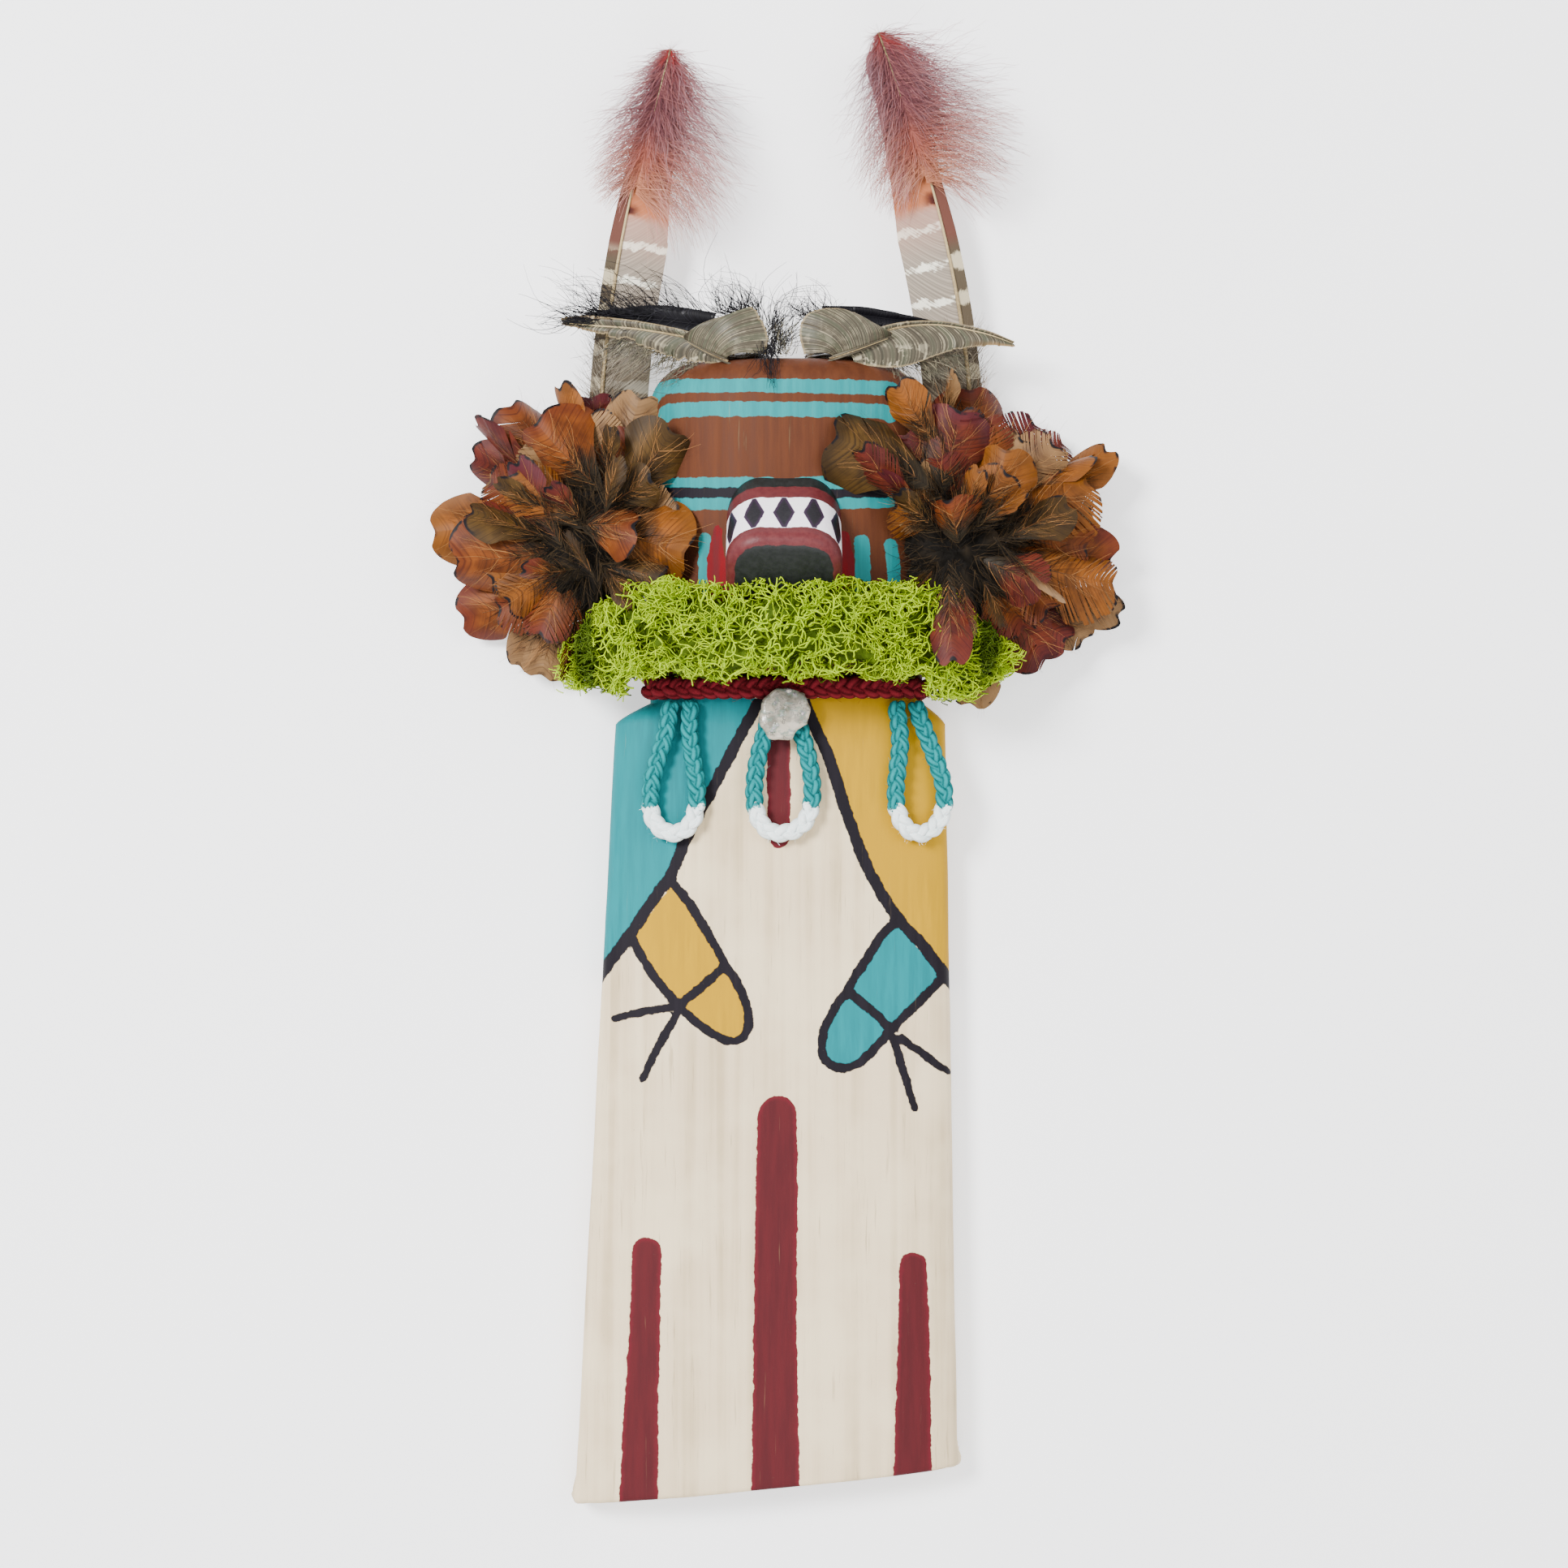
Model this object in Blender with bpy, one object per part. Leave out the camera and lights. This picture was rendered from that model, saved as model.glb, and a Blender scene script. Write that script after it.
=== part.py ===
"""A flat carved kachina doll, lying on its back.

One carved board makes the head and the body. A snout, a braided neck cord, three hanging
cord loops, a shell chip, a moss collar and feathers are glued to it. X is to the right of
someone who looks at the painted front, Y runs from the foot to the head and Z comes out of
the flat back. The origin is on the back, in the middle of the body.
"""

import math

import bmesh
import bpy
from mathutils import Matrix, Vector

MM = 0.001
GLUE_GAP = 0.3 * MM

# The body board. Heights are measured along the board from the lower corner of its foot.
BODY_LENGTH = 248 * MM
BODY_TOP_WIDTH = 102 * MM
BODY_FOOT_WIDTH = 119 * MM
FOOT_SHIFT = -4.5 * MM
FOOT_SKEW = 11.5 * MM
FOOT_SKEW_REACH = 70 * MM
FOOT_ROUND = 1.6 * MM
SHOULDER_CHAMFER = 6.5 * MM
BODY_DEPTH = 20 * MM
BODY_EDGE_DEPTH = 10 * MM
BODY_CROWN = 2.7
BACK_CHAMFER = 1.6 * MM
BODY_ROWS = 8

# The head grows out of the body above a short neck, where the neck cord lies.
HEAD_WIDTH = 84.5 * MM
HEAD_SHIFT = 1.75 * MM
HEAD_LENGTH = 96 * MM
HEAD_DEPTH = 38 * MM
HEAD_EDGE_DEPTH = 14 * MM
HEAD_CORNER = 14 * MM
HEAD_CROWN = 2.0
CHIN_DEPTH = 33 * MM
CHIN_ROUND = 6 * MM
BROW_ROUND = 9 * MM
HEAD_ROWS = 4
CORNER_ROWS = 5
FRONT_STEPS = 16

# The snout is a rounded block that points forwards and down.
SNOUT_WIDTH = 34.5 * MM
SNOUT_HEIGHT = 28 * MM
SNOUT_LENGTH = 31.5 * MM
SNOUT_ROOT = 15 * MM
SNOUT_TILT = math.radians(40)
SNOUT_BROW = 58.8 * MM
SNOUT_TOP_ROUND = 11 * MM
SNOUT_CHIN_ROUND = 5 * MM
SNOUT_NOSE_ROUND = 2.4 * MM
SNOUT_SHIFT = 1.0 * MM

# The cords.
NECK_CORD = 7 * MM
NECK_CORD_OVERHANG = 1.2 * MM
LOOP_CORD = 5.6 * MM
LOOP_CORD_SIDES = 2
NECK_BAND = NECK_CORD + 1.5 * MM

# The shell chip hides the top of the middle loop.
CHIP_WIDTH = 16.5 * MM
CHIP_HEIGHT = 16 * MM
CHIP_DEPTH = 2.4 * MM
CHIP_SIDES = 15

# The moss collar bends round the chin from ear to ear.
MOSS_HALF_SPAN = 59 * MM
MOSS_REACH = 38 * MM
MOSS_BACK = 11 * MM
MOSS_HEIGHT = 29.5 * MM
MOSS_THICKNESS = 19 * MM
MOSS_ABOVE_NECK = 16.6 * MM
MOSS_ARCH = 4 * MM
MOSS_SWEEP = math.radians(94)
MOSS_STATIONS = 30
MOSS_SIDES = 14
MOSS_LUMP = 1.5 * MM

# The ear ruffs are rosettes of body feathers round a glued knot of quills.
RUFF_HEIGHT = 52 * MM
RUFF_Z = 20 * MM
KNOT_WIDTH = 30 * MM
KNOT_HEIGHT = 24 * MM
KNOT_DEPTH = 25 * MM
RUFF_OFFSET = HEAD_WIDTH / 2 + KNOT_WIDTH / 2 + GLUE_GAP
RUFF_FEATHER = 47 * MM
RUFF_FEATHER_WIDTH = 22 * MM
RUFF_VANE = 0.9 * MM
RUFF_OUTER_SHARE = (1.03, 0.93)
RUFF_FACE_SHARE = (0.92, 1.1)
RUFF_ROOT = 6 * MM

# The two barred wing feathers stand behind the ruffs, with a down plume tied at each tip.
WING_LENGTH = 142 * MM
WING_OFFSET = HEAD_WIDTH / 2 + 16.2 * MM
WING_LEFT_LEAN = 22 * MM
WING_RIGHT_LEAN = 29 * MM
WING_LEFT_SHORT = 5 * MM
WING_BROAD_VANE = 16 * MM
WING_NARROW_VANE = 3.6 * MM
WING_VANE = 0.8 * MM
WING_QUILL = 2.2 * MM
WING_Z = 9 * MM
WING_RISE = 10 * MM
PLUME_LENGTH = 56 * MM
PLUME_WIDTH = 38 * MM
PLUME_VANE = 2.6 * MM

# The crest feathers lie across the top of the head on two drops of glue.
CREST_OFFSET = 14 * MM
CREST_Z = 29.5 * MM
CREST_LAYER = 3.4 * MM
CREST_LENGTH = 58 * MM
CREST_WIDTH = 11 * MM
CREST_DARK_LENGTH = 42 * MM
CREST_DARK_WIDTH = 8.5 * MM
CREST_CUT_LENGTH = 27 * MM
CREST_CUT_WIDTH = 15 * MM
CREST_VANE = 0.9 * MM
GLUE_WIDTH = 20 * MM
GLUE_HEIGHT = 2.4 * MM
GLUE_DEPTH = 14 * MM

NECK_Y = BODY_LENGTH / 2
CHIN_Y = NECK_Y + NECK_BAND
HEAD_TOP_Y = CHIN_Y + HEAD_LENGTH
NECK_CORD_Y = NECK_Y + NECK_BAND / 2 + GLUE_GAP


def clear_scene():
    """Removes every object that the scene starts with."""
    for item in list(bpy.data.objects):
        bpy.data.objects.remove(item)


def paint(name, colour, roughness, metallic=0.0):
    """A plain finish."""
    finish = bpy.data.materials.new(name)
    finish.use_nodes = True
    shader = finish.node_tree.nodes["Principled BSDF"]
    shader.inputs["Base Color"].default_value = (*colour, 1)
    shader.inputs["Roughness"].default_value = roughness
    shader.inputs["Metallic"].default_value = metallic
    return finish


def object_from(name, mesh, finish, sharp=35):
    """An object made from a bmesh, with its faces pointing out."""
    bmesh.ops.recalc_face_normals(mesh, faces=mesh.faces)
    data = bpy.data.meshes.new(name)
    mesh.to_mesh(data)
    mesh.free()
    data.shade_smooth()
    data.set_sharp_from_angle(angle=math.radians(sharp))
    data.materials.append(finish)
    made = bpy.data.objects.new(name, data)
    bpy.context.scene.collection.objects.link(made)
    return made


def loft(name, rings, finish, sharp=35):
    """One closed solid through rings of equal length, with flat ends."""
    mesh = bmesh.new()
    rows = [[mesh.verts.new(point) for point in ring] for ring in rings]
    for lower, upper in zip(rows, rows[1:]):
        for i in range(len(lower)):
            j = (i + 1) % len(lower)
            mesh.faces.new((lower[i], lower[j], upper[j], upper[i]))
    mesh.faces.new(rows[0])
    mesh.faces.new(rows[-1])
    return object_from(name, mesh, finish, sharp)


def inflated(source, clearance):
    """A hidden copy of a solid, thicker all round by the clearance, to cut its neighbours with."""
    mesh = bmesh.new()
    mesh.from_mesh(source.data)
    mesh.normal_update()
    places = [vert.co + vert.normal * clearance * 1.15 for vert in mesh.verts]
    for vert, place in zip(mesh.verts, places):
        vert.co = place
    helper = object_from(source.name + "_room", mesh, source.data.materials[0])
    helper.hide_render = True
    helper.display_type = "WIRE"
    return helper


def cut(target, cutter):
    """Takes the cutter's shape out of the target."""
    step = target.modifiers.new("cut_" + cutter.name, "BOOLEAN")
    step.operation = "DIFFERENCE"
    step.solver = "EXACT"
    step.object = cutter


def between(start, end, share):
    return start + (end - start) * share


# The carved board


def body_sides(height):
    """The left and right edge of the body board at a height above its foot."""
    share = min(1.0, height / BODY_LENGTH)
    width = between(BODY_FOOT_WIDTH, BODY_TOP_WIDTH, share)
    middle = between(FOOT_SHIFT, 0.0, share)
    return middle - width / 2, middle + width / 2


def crown(share, edge_depth, depth, power):
    """The depth of a domed front at a share, from -1 to 1, of its half width."""
    return edge_depth + (depth - edge_depth) * max(0.0, 1 - abs(share) ** power) ** (1 / power)


def body_front(x, y):
    """The depth of the body's painted front at a place."""
    left, right = body_sides(y + BODY_LENGTH / 2)
    share = (2 * x - left - right) / (right - left)
    return crown(max(-1.0, min(1.0, share)), BODY_EDGE_DEPTH, BODY_DEPTH, BODY_CROWN)


def foot_lift(x, height):
    """How far the skewed foot pushes a point up the board."""
    left, right = body_sides(0)
    share = (x - left) / (right - left)
    fade = max(0.0, 1 - height / FOOT_SKEW_REACH)
    return FOOT_SKEW * share * fade


def board_ring(height, sides, edge_depth, depth, power, inset=0.0):
    """A section of the board: a flat back with chamfered corners and a domed front."""
    left, right = sides[0] + inset, sides[1] - inset
    middle, half = (left + right) / 2, (right - left) / 2
    points = [(left + BACK_CHAMFER, inset), (left, inset + BACK_CHAMFER)]
    for i in range(FRONT_STEPS + 1):
        turn = math.pi * (i / FRONT_STEPS - 0.5)
        share = math.copysign(abs(math.sin(turn)) ** (2 / power), turn)
        points.append((middle + half * share, crown(share, edge_depth, depth, power) - inset))
    points += [(right, inset + BACK_CHAMFER), (right - BACK_CHAMFER, inset)]
    return [Vector((x, height + foot_lift(x, height) - BODY_LENGTH / 2, z)) for x, z in points]


def board_rings():
    """The sections from the foot to the top of the head."""
    rings = [board_ring(0, body_sides(0), BODY_EDGE_DEPTH, BODY_DEPTH, BODY_CROWN, FOOT_ROUND)]
    shoulder = BODY_LENGTH - SHOULDER_CHAMFER
    for i in range(BODY_ROWS + 1):
        height = between(FOOT_ROUND, shoulder, i / BODY_ROWS)
        rings.append(
            board_ring(height, body_sides(height), BODY_EDGE_DEPTH, BODY_DEPTH, BODY_CROWN)
        )
    half = HEAD_WIDTH / 2
    head = (HEAD_SHIFT - half, HEAD_SHIFT + half)
    for height in (BODY_LENGTH, BODY_LENGTH + NECK_BAND):
        rings.append(board_ring(height, head, BODY_EDGE_DEPTH, BODY_DEPTH, BODY_CROWN))
    chin = BODY_LENGTH + NECK_BAND
    rings.append(board_ring(chin + CHIN_ROUND / 6, head, HEAD_EDGE_DEPTH, CHIN_DEPTH, HEAD_CROWN))
    corner = chin + HEAD_LENGTH - HEAD_CORNER
    for i in range(HEAD_ROWS + 1):
        height = between(chin + CHIN_ROUND, corner, i / HEAD_ROWS)
        rings.append(board_ring(height, head, HEAD_EDGE_DEPTH, HEAD_DEPTH, HEAD_CROWN))
    for i in range(1, CORNER_ROWS + 1):
        turn = math.pi / 2 * i / CORNER_ROWS
        height = corner + HEAD_CORNER * math.sin(turn)
        narrow = HEAD_CORNER * (1 - math.cos(turn))
        past = max(0.0, height - (corner + HEAD_CORNER - BROW_ROUND))
        depth = HEAD_DEPTH - BROW_ROUND + math.sqrt(max(0.0, BROW_ROUND**2 - past**2))
        sides = (head[0] + narrow, head[1] - narrow)
        rings.append(board_ring(height, sides, HEAD_EDGE_DEPTH, depth, HEAD_CROWN))
    return rings


def make_board():
    finish = paint("painted_wood", (0.72, 0.66, 0.56), 0.6)
    return loft("carved_board", board_rings(), finish, 40)


# The snout


def snout_ring(along, inset):
    """A section of the snout: round on top, with small corners below."""
    forward = Vector((0, -math.sin(SNOUT_TILT), math.cos(SNOUT_TILT)))
    up = Vector((0, math.cos(SNOUT_TILT), math.sin(SNOUT_TILT)))
    top = Vector((SNOUT_SHIFT, CHIN_Y + SNOUT_BROW - GLUE_GAP, HEAD_DEPTH))
    middle = top + forward * along - up * SNOUT_HEIGHT / 2
    half_width, half_height = SNOUT_WIDTH / 2 - inset, SNOUT_HEIGHT / 2 - inset
    corners = (
        (1, 1, SNOUT_TOP_ROUND, 5),
        (-1, 1, SNOUT_TOP_ROUND, 5),
        (-1, -1, SNOUT_CHIN_ROUND, 3),
        (1, -1, SNOUT_CHIN_ROUND, 3),
    )
    ring = []
    for number, (side, level, radius, steps) in enumerate(corners):
        radius = radius - inset
        for i in range(steps + 1):
            turn = math.pi / 2 * (number + i / steps)
            x = side * (half_width - radius) + radius * math.cos(turn)
            h = level * (half_height - radius) + radius * math.sin(turn)
            ring.append(middle + Vector((x, 0, 0)) + up * h)
    return ring


def make_snout(board_room):
    rings = [snout_ring(-SNOUT_ROOT, 0.0), snout_ring(0.0, 0.0)]
    for i in range(4):
        turn = math.pi / 2 * i / 3
        along = SNOUT_LENGTH - SNOUT_NOSE_ROUND * (1 - math.sin(turn))
        rings.append(snout_ring(along, SNOUT_NOSE_ROUND * (1 - math.cos(turn))))
    snout = loft("snout", rings, paint("snout_paint", (0.03, 0.035, 0.035), 0.55), 40)
    cut(snout, board_room)
    return snout


# The cords


def smooth_route(points, spacing):
    """Evenly spaced points on a smooth curve through the route's own points."""
    fine = []
    for i in range(len(points) - 1):
        before = points[max(i - 1, 0)]
        here, there = points[i], points[i + 1]
        after = points[min(i + 2, len(points) - 1)]
        for k in range(12):
            t = k / 12
            fine.append(
                0.5
                * (
                    2 * here
                    + (there - before) * t
                    + (2 * before - 5 * here + 4 * there - after) * t**2
                    + (3 * here - before - 3 * there + after) * t**3
                )
            )
    fine.append(points[-1])
    total = sum((b - a).length for a, b in zip(fine, fine[1:]))
    steps = max(4, round(total / spacing))
    placed, walked, at = [fine[0]], 0.0, 0
    for i in range(1, steps):
        goal = total * i / steps
        while walked + (fine[at + 1] - fine[at]).length < goal:
            walked += (fine[at + 1] - fine[at]).length
            at += 1
        share = (goal - walked) / (fine[at + 1] - fine[at]).length
        placed.append(fine[at].lerp(fine[at + 1], share))
    return placed + [fine[-1]]


def cord(name, points, diameter, finish, sides=3, spacing=1.0):
    """A round cord along a smooth route, with closed ends."""
    curve = bpy.data.curves.new(name, "CURVE")
    curve.dimensions = "3D"
    curve.bevel_depth = diameter / 2
    curve.bevel_resolution = sides
    curve.use_fill_caps = True
    placed = smooth_route(points, diameter * spacing)
    line = curve.splines.new("POLY")
    line.points.add(len(placed) - 1)
    for spot, place in zip(line.points, placed):
        spot.co = (*place, 1)
    curve.materials.append(finish)
    made = bpy.data.objects.new(name, curve)
    bpy.context.scene.collection.objects.link(made)
    return made


def neck_route():
    """The neck cord crosses the front of the neck and turns back round both edges."""
    half = HEAD_WIDTH / 2
    clear = NECK_CORD / 2 + GLUE_GAP
    points = []
    for i in range(17):
        share = i / 8 - 1
        x = HEAD_SHIFT + share * (half + NECK_CORD_OVERHANG)
        flat = max(-1.0, min(1.0, share * 0.985))
        z = crown(flat, BODY_EDGE_DEPTH, BODY_DEPTH, BODY_CROWN) + clear
        droop = 0.8 * MM * max(0.0, share - 0.9) / 0.1
        points.append(Vector((x, NECK_CORD_Y - droop, z)))
    return points


def make_neck_cord(board_room):
    finish = paint("red_cord", (0.2, 0.018, 0.028), 0.85)
    whole = cord("neck_cord_route", neck_route(), NECK_CORD, finish, sides=3, spacing=0.45)
    data = bpy.data.meshes.new_from_object(whole)
    bpy.data.objects.remove(whole)
    mesh = bmesh.new()
    mesh.from_mesh(data)
    bmesh.ops.remove_doubles(mesh, verts=mesh.verts, dist=0.00001)
    made = object_from("neck_cord", mesh, finish, 60)
    cut(made, board_room)
    return made


# Each loop's route runs from under the neck cord, round its white tip and back. The first
# number is the distance from the loop's own middle, and the second the drop below its top.
LEFT_LOOP = (
    (-3.2, 0), (-3.6, 4), (-4.4, 9), (-5.9, 14), (-7.6, 19), (-8.9, 24), (-9.5, 29), (-9.3, 33.5),
    (-7.6, 37.6), (-4.4, 39.9), (-0.8, 40.1), (2.6, 37.9), (4.4, 34), (4.9, 29), (4.6, 24),
    (3.9, 19), (3.1, 14), (2.6, 9), (2.8, 4), (2.9, 0),
)
MIDDLE_LOOP = (
    (-3.1, 0), (-3.6, 4), (-5.0, 9), (-6.5, 14), (-7.7, 19), (-8.4, 24), (-8.6, 29), (-8.0, 33.5),
    (-6.2, 37.6), (-3.2, 39.9), (0.6, 40.2), (4.3, 39.0), (7.3, 36.2), (8.8, 32), (9.2, 27),
    (8.8, 22), (7.9, 17), (6.6, 12), (5.0, 7), (3.6, 3), (3.1, 0),
)
RIGHT_LOOP = (
    (-3.4, 0), (-2.9, 4), (-2.3, 9), (-2.2, 14), (-2.8, 19), (-3.4, 24), (-3.6, 29), (-3.1, 33.5),
    (-1.0, 38.0), (2.4, 40.3), (6.0, 40.0), (9.4, 37.2), (11.2, 33), (11.5, 28), (10.6, 23),
    (8.9, 18), (7.0, 13), (5.1, 8), (3.6, 4), (2.9, 0),
)
LOOP_PLACES = (
    ("cord_loop_left", LEFT_LOOP, -30.6 * MM),
    ("cord_loop_middle", MIDDLE_LOOP, 0.4 * MM),
    ("cord_loop_right", RIGHT_LOOP, 38.8 * MM),
)
LOOP_TOP = NECK_CORD_Y - NECK_CORD / 2 - 3 * GLUE_GAP
LOOP_LIFT = 0.9 * MM


def loop_route(places, middle):
    """The loop lies on the body's front, a little clear of it."""
    points = []
    for across, drop in places:
        x, y = middle + across * MM, LOOP_TOP - drop * MM
        inner = max(-BODY_TOP_WIDTH * 0.47, min(BODY_TOP_WIDTH * 0.47, x))
        points.append(Vector((x, y, body_front(inner, y) + LOOP_CORD / 2 + LOOP_LIFT)))
    return points


def make_loops():
    finish = paint("turquoise_cord", (0.03, 0.42, 0.42), 0.85)
    for name, places, middle in LOOP_PLACES:
        cord(name, loop_route(places, middle), LOOP_CORD, finish, LOOP_CORD_SIDES)


# The shell chip


def make_chip():
    """An uneven chip of shell, thin at its rim and raised in its middle."""
    finish = paint("shell_chip", (0.5, 0.47, 0.43), 0.3)
    middle = Vector((LOOP_PLACES[1][2] + 0.7 * MM, LOOP_TOP - CHIP_HEIGHT / 2 + 4.1 * MM, 0))
    behind = BODY_DEPTH + max(NECK_CORD, LOOP_CORD + LOOP_LIFT) + 2 * GLUE_GAP
    rings = []
    for level, size in ((0.0, 0.93), (0.35, 1.0), (0.75, 0.82), (1.0, 0.45)):
        ring = []
        for i in range(CHIP_SIDES):
            turn = math.tau * i / CHIP_SIDES
            uneven = 1 + 0.07 * math.sin(3 * turn + 0.6) + 0.05 * math.sin(5 * turn)
            corner = 1 + 0.12 * math.cos(2 * turn - 0.9)
            reach = size * uneven * corner
            x = reach * CHIP_WIDTH / 2 * math.cos(turn)
            y = reach * CHIP_HEIGHT / 2 * math.sin(turn)
            ring.append(middle + Vector((x, y, behind + level * CHIP_DEPTH)))
        rings.append(ring)
    return loft("shell_chip", rings, finish, 30)


# The moss collar


def moss_ring(share):
    """A lumpy oval section of the moss at a share, from -1 to 1, of its sweep."""
    turn = share * MOSS_SWEEP
    arch = MOSS_ARCH * max(0.0, 1 - (share / 0.75) ** 2)
    middle = Vector(
        (
            HEAD_SHIFT + MOSS_HALF_SPAN * math.sin(turn),
            NECK_Y + MOSS_ABOVE_NECK + arch + 1.2 * MM * math.sin(5 * turn),
            MOSS_BACK + MOSS_REACH * math.cos(turn),
        )
    )
    outward = Vector((math.sin(turn) / MOSS_HALF_SPAN, 0, math.cos(turn) / MOSS_REACH)).normalized()
    end = math.sqrt(max(0.12, 1 - abs(share) ** 7))
    ring = []
    for i in range(MOSS_SIDES):
        around = math.tau * i / MOSS_SIDES
        lump = MOSS_LUMP * (
            math.sin(9 * turn + 2 * around) * 0.6 + math.sin(17 * turn - 3 * around) * 0.4
        )
        half_thick = (MOSS_THICKNESS / 2 + lump * 0.6) * end
        half_high = (MOSS_HEIGHT / 2 + lump) * end
        ring.append(
            middle
            + outward * half_thick * math.cos(around)
            + Vector((0, half_high * math.sin(around), 0))
        )
    return ring


def make_moss(rooms):
    steps = range(MOSS_STATIONS + 1)
    rings = [moss_ring(2 * i / MOSS_STATIONS - 1) for i in steps]
    moss = loft("moss_collar", rings, paint("moss", (0.36, 0.5, 0.03), 0.9), 60)
    for room in rooms:
        cut(moss, room)
    return moss


# The feathers


def quill_outline(share):
    """The half width of a long feather at a share of its length, as a share of the widest."""
    full = math.sin(min(1.0, share / 0.3 + 0.1) * math.pi / 2)
    fall = max(0.0, (share - 0.62) / 0.38)
    return full * (1 - 0.7 * fall**2.6)


def cut_outline(share):
    """The half width of a crest feather that was cut short."""
    return min(1.0, 0.35 + 1.9 * share) * (1 - 0.4 * max(0.0, (share - 0.7) / 0.3) ** 2)


def petal_outline(share):
    """The half width of a body feather, which widens evenly and has a round tip."""
    fall = max(0.0, (share - 0.64) / 0.36)
    return max(0.08, min(1.0, share / 0.64)) * math.sqrt(1 - 0.88 * fall**2)


def add_vane(mesh, root, along, face, length, width, thickness, bend, outline, rows=6):
    """Adds one closed, cupped vane to a mesh. It curls away from its face by its bend."""
    along, face = along.normalized(), face.normalized()
    side = along.cross(face).normalized()
    face = side.cross(along).normalized()
    rings = []
    for i in range(rows + 1):
        share = i / rows
        turn = bend * share
        place = root + (along * math.sin(turn) - face * (1 - math.cos(turn))) * length / bend
        normal = face * math.cos(turn) + along * math.sin(turn)
        half = width / 2 * outline(share)
        cup = 0.16 * half
        rings.append(
            [
                place + side * half - normal * cup,
                place + normal * thickness / 2,
                place - side * half - normal * cup,
                place - normal * thickness / 2,
            ]
        )
    rows_of_verts = [[mesh.verts.new(point) for point in ring] for ring in rings]
    for lower, upper in zip(rows_of_verts, rows_of_verts[1:]):
        for i in range(4):
            j = (i + 1) % 4
            mesh.faces.new((lower[i], upper[i], upper[j], lower[j]))
    mesh.faces.new(rows_of_verts[0])
    mesh.faces.new(rows_of_verts[-1][::-1])


def settled(source):
    """A copy of an object's mesh with its modifiers applied."""
    bpy.context.view_layer.update()
    graph = bpy.context.evaluated_depsgraph_get()
    return bpy.data.meshes.new_from_object(source.evaluated_get(graph))


def outer_skin(mesh):
    """Keeps only the widest skin of a mesh, so the pockets between fused vanes are filled."""
    skins, seen = [], set()
    for start in mesh.faces:
        if start in seen:
            continue
        skin, waiting = [], [start]
        seen.add(start)
        while waiting:
            face = waiting.pop()
            skin.append(face)
            for edge in face.edges:
                if len(edge.link_faces) != 2:
                    continue
                for other in edge.link_faces:
                    if other not in seen:
                        seen.add(other)
                        waiting.append(other)
        skins.append(skin)
    skins.sort(key=len)
    bmesh.ops.delete(mesh, geom=[face for skin in skins[:-1] for face in skin], context="FACES")


# One row for each layer of ruff feathers: the first one's direction, the step to the next,
# their rise off the board, their length as a share of a full feather, their lift as a share
# of the knot's depth, and their bend. The counts below say how many each layer has.
# A direction of 0 points away from the head, 90 up and 180 over the face.
RUFF_LAYERS = (
    (-36, 40, -8, 0.93, -0.16, 0.25),
    (-45, 32, 3, 1.0, 0.0, 0.3),
    (-60, 33, 20, 0.92, 0.136, 0.3),
    (118, 40, 27, 0.68, 0.2, 0.15),
    (-50, 38, 33, 0.8, 0.26, 0.35),
    (265, 60, 25, 0.9, 0.456, 0.26),
    (-42, 90, 60, 0.54, 0.28, 0.5),
)
RUFF_COUNTS = (3, 5, 5, 3, 4, 1, 4)


def make_ruff(name, side, finish):
    """One ear ruff: a knot of quills with its feathers fused to it."""
    middle = Vector((side * RUFF_OFFSET + HEAD_SHIFT, NECK_Y + RUFF_HEIGHT, RUFF_Z))
    mesh = bmesh.new()
    knot = Matrix.Diagonal((KNOT_WIDTH / 2, KNOT_HEIGHT / 2, KNOT_DEPTH / 2, 1))
    bmesh.ops.create_icosphere(
        mesh, subdivisions=2, radius=1.0, matrix=Matrix.Translation(middle) @ knot
    )
    for count, (first, step, rise, long, lift, bend) in zip(RUFF_COUNTS, RUFF_LAYERS):
        climb = math.radians(rise)
        for i in range(count):
            turn = math.radians(first + step * i)
            flat = Vector((side * math.cos(turn), math.sin(turn), 0))
            along = flat * math.cos(climb) + Vector((0, 0, math.sin(climb)))
            face = Vector((0, 0, math.cos(climb))) - flat * math.sin(climb)
            root = middle + flat * RUFF_ROOT + Vector((0, 0, lift * KNOT_DEPTH))
            shares = RUFF_FACE_SHARE if 90 < first < 200 else RUFF_OUTER_SHARE
            length = RUFF_FEATHER * long * shares[side > 0]
            room = (RUFF_ROOT + 0.64 * length) * math.tan(math.radians(step) / 2)
            width = min(RUFF_FEATHER_WIDTH, 1.84 * room, 0.62 * length)
            add_vane(mesh, root, along, face, length, width, RUFF_VANE, bend, petal_outline)
    loose = object_from(name + "_loose", mesh, finish, 50)
    seed_mesh = bmesh.new()
    bmesh.ops.create_cube(seed_mesh, size=KNOT_DEPTH / 8, matrix=Matrix.Translation(middle))
    seed = object_from(name + "_seed", seed_mesh, finish)
    seed.hide_render = True
    seed.display_type = "WIRE"
    fuse = loose.modifiers.new("fuse", "BOOLEAN")
    fuse.operation = "UNION"
    fuse.solver = "EXACT"
    fuse.use_self = True
    fuse.object = seed
    data = settled(loose)
    for item in (loose, seed):
        bpy.data.objects.remove(item)
    fused = bmesh.new()
    fused.from_mesh(data)
    outer_skin(fused)
    return object_from(name, fused, finish, 50)


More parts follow.
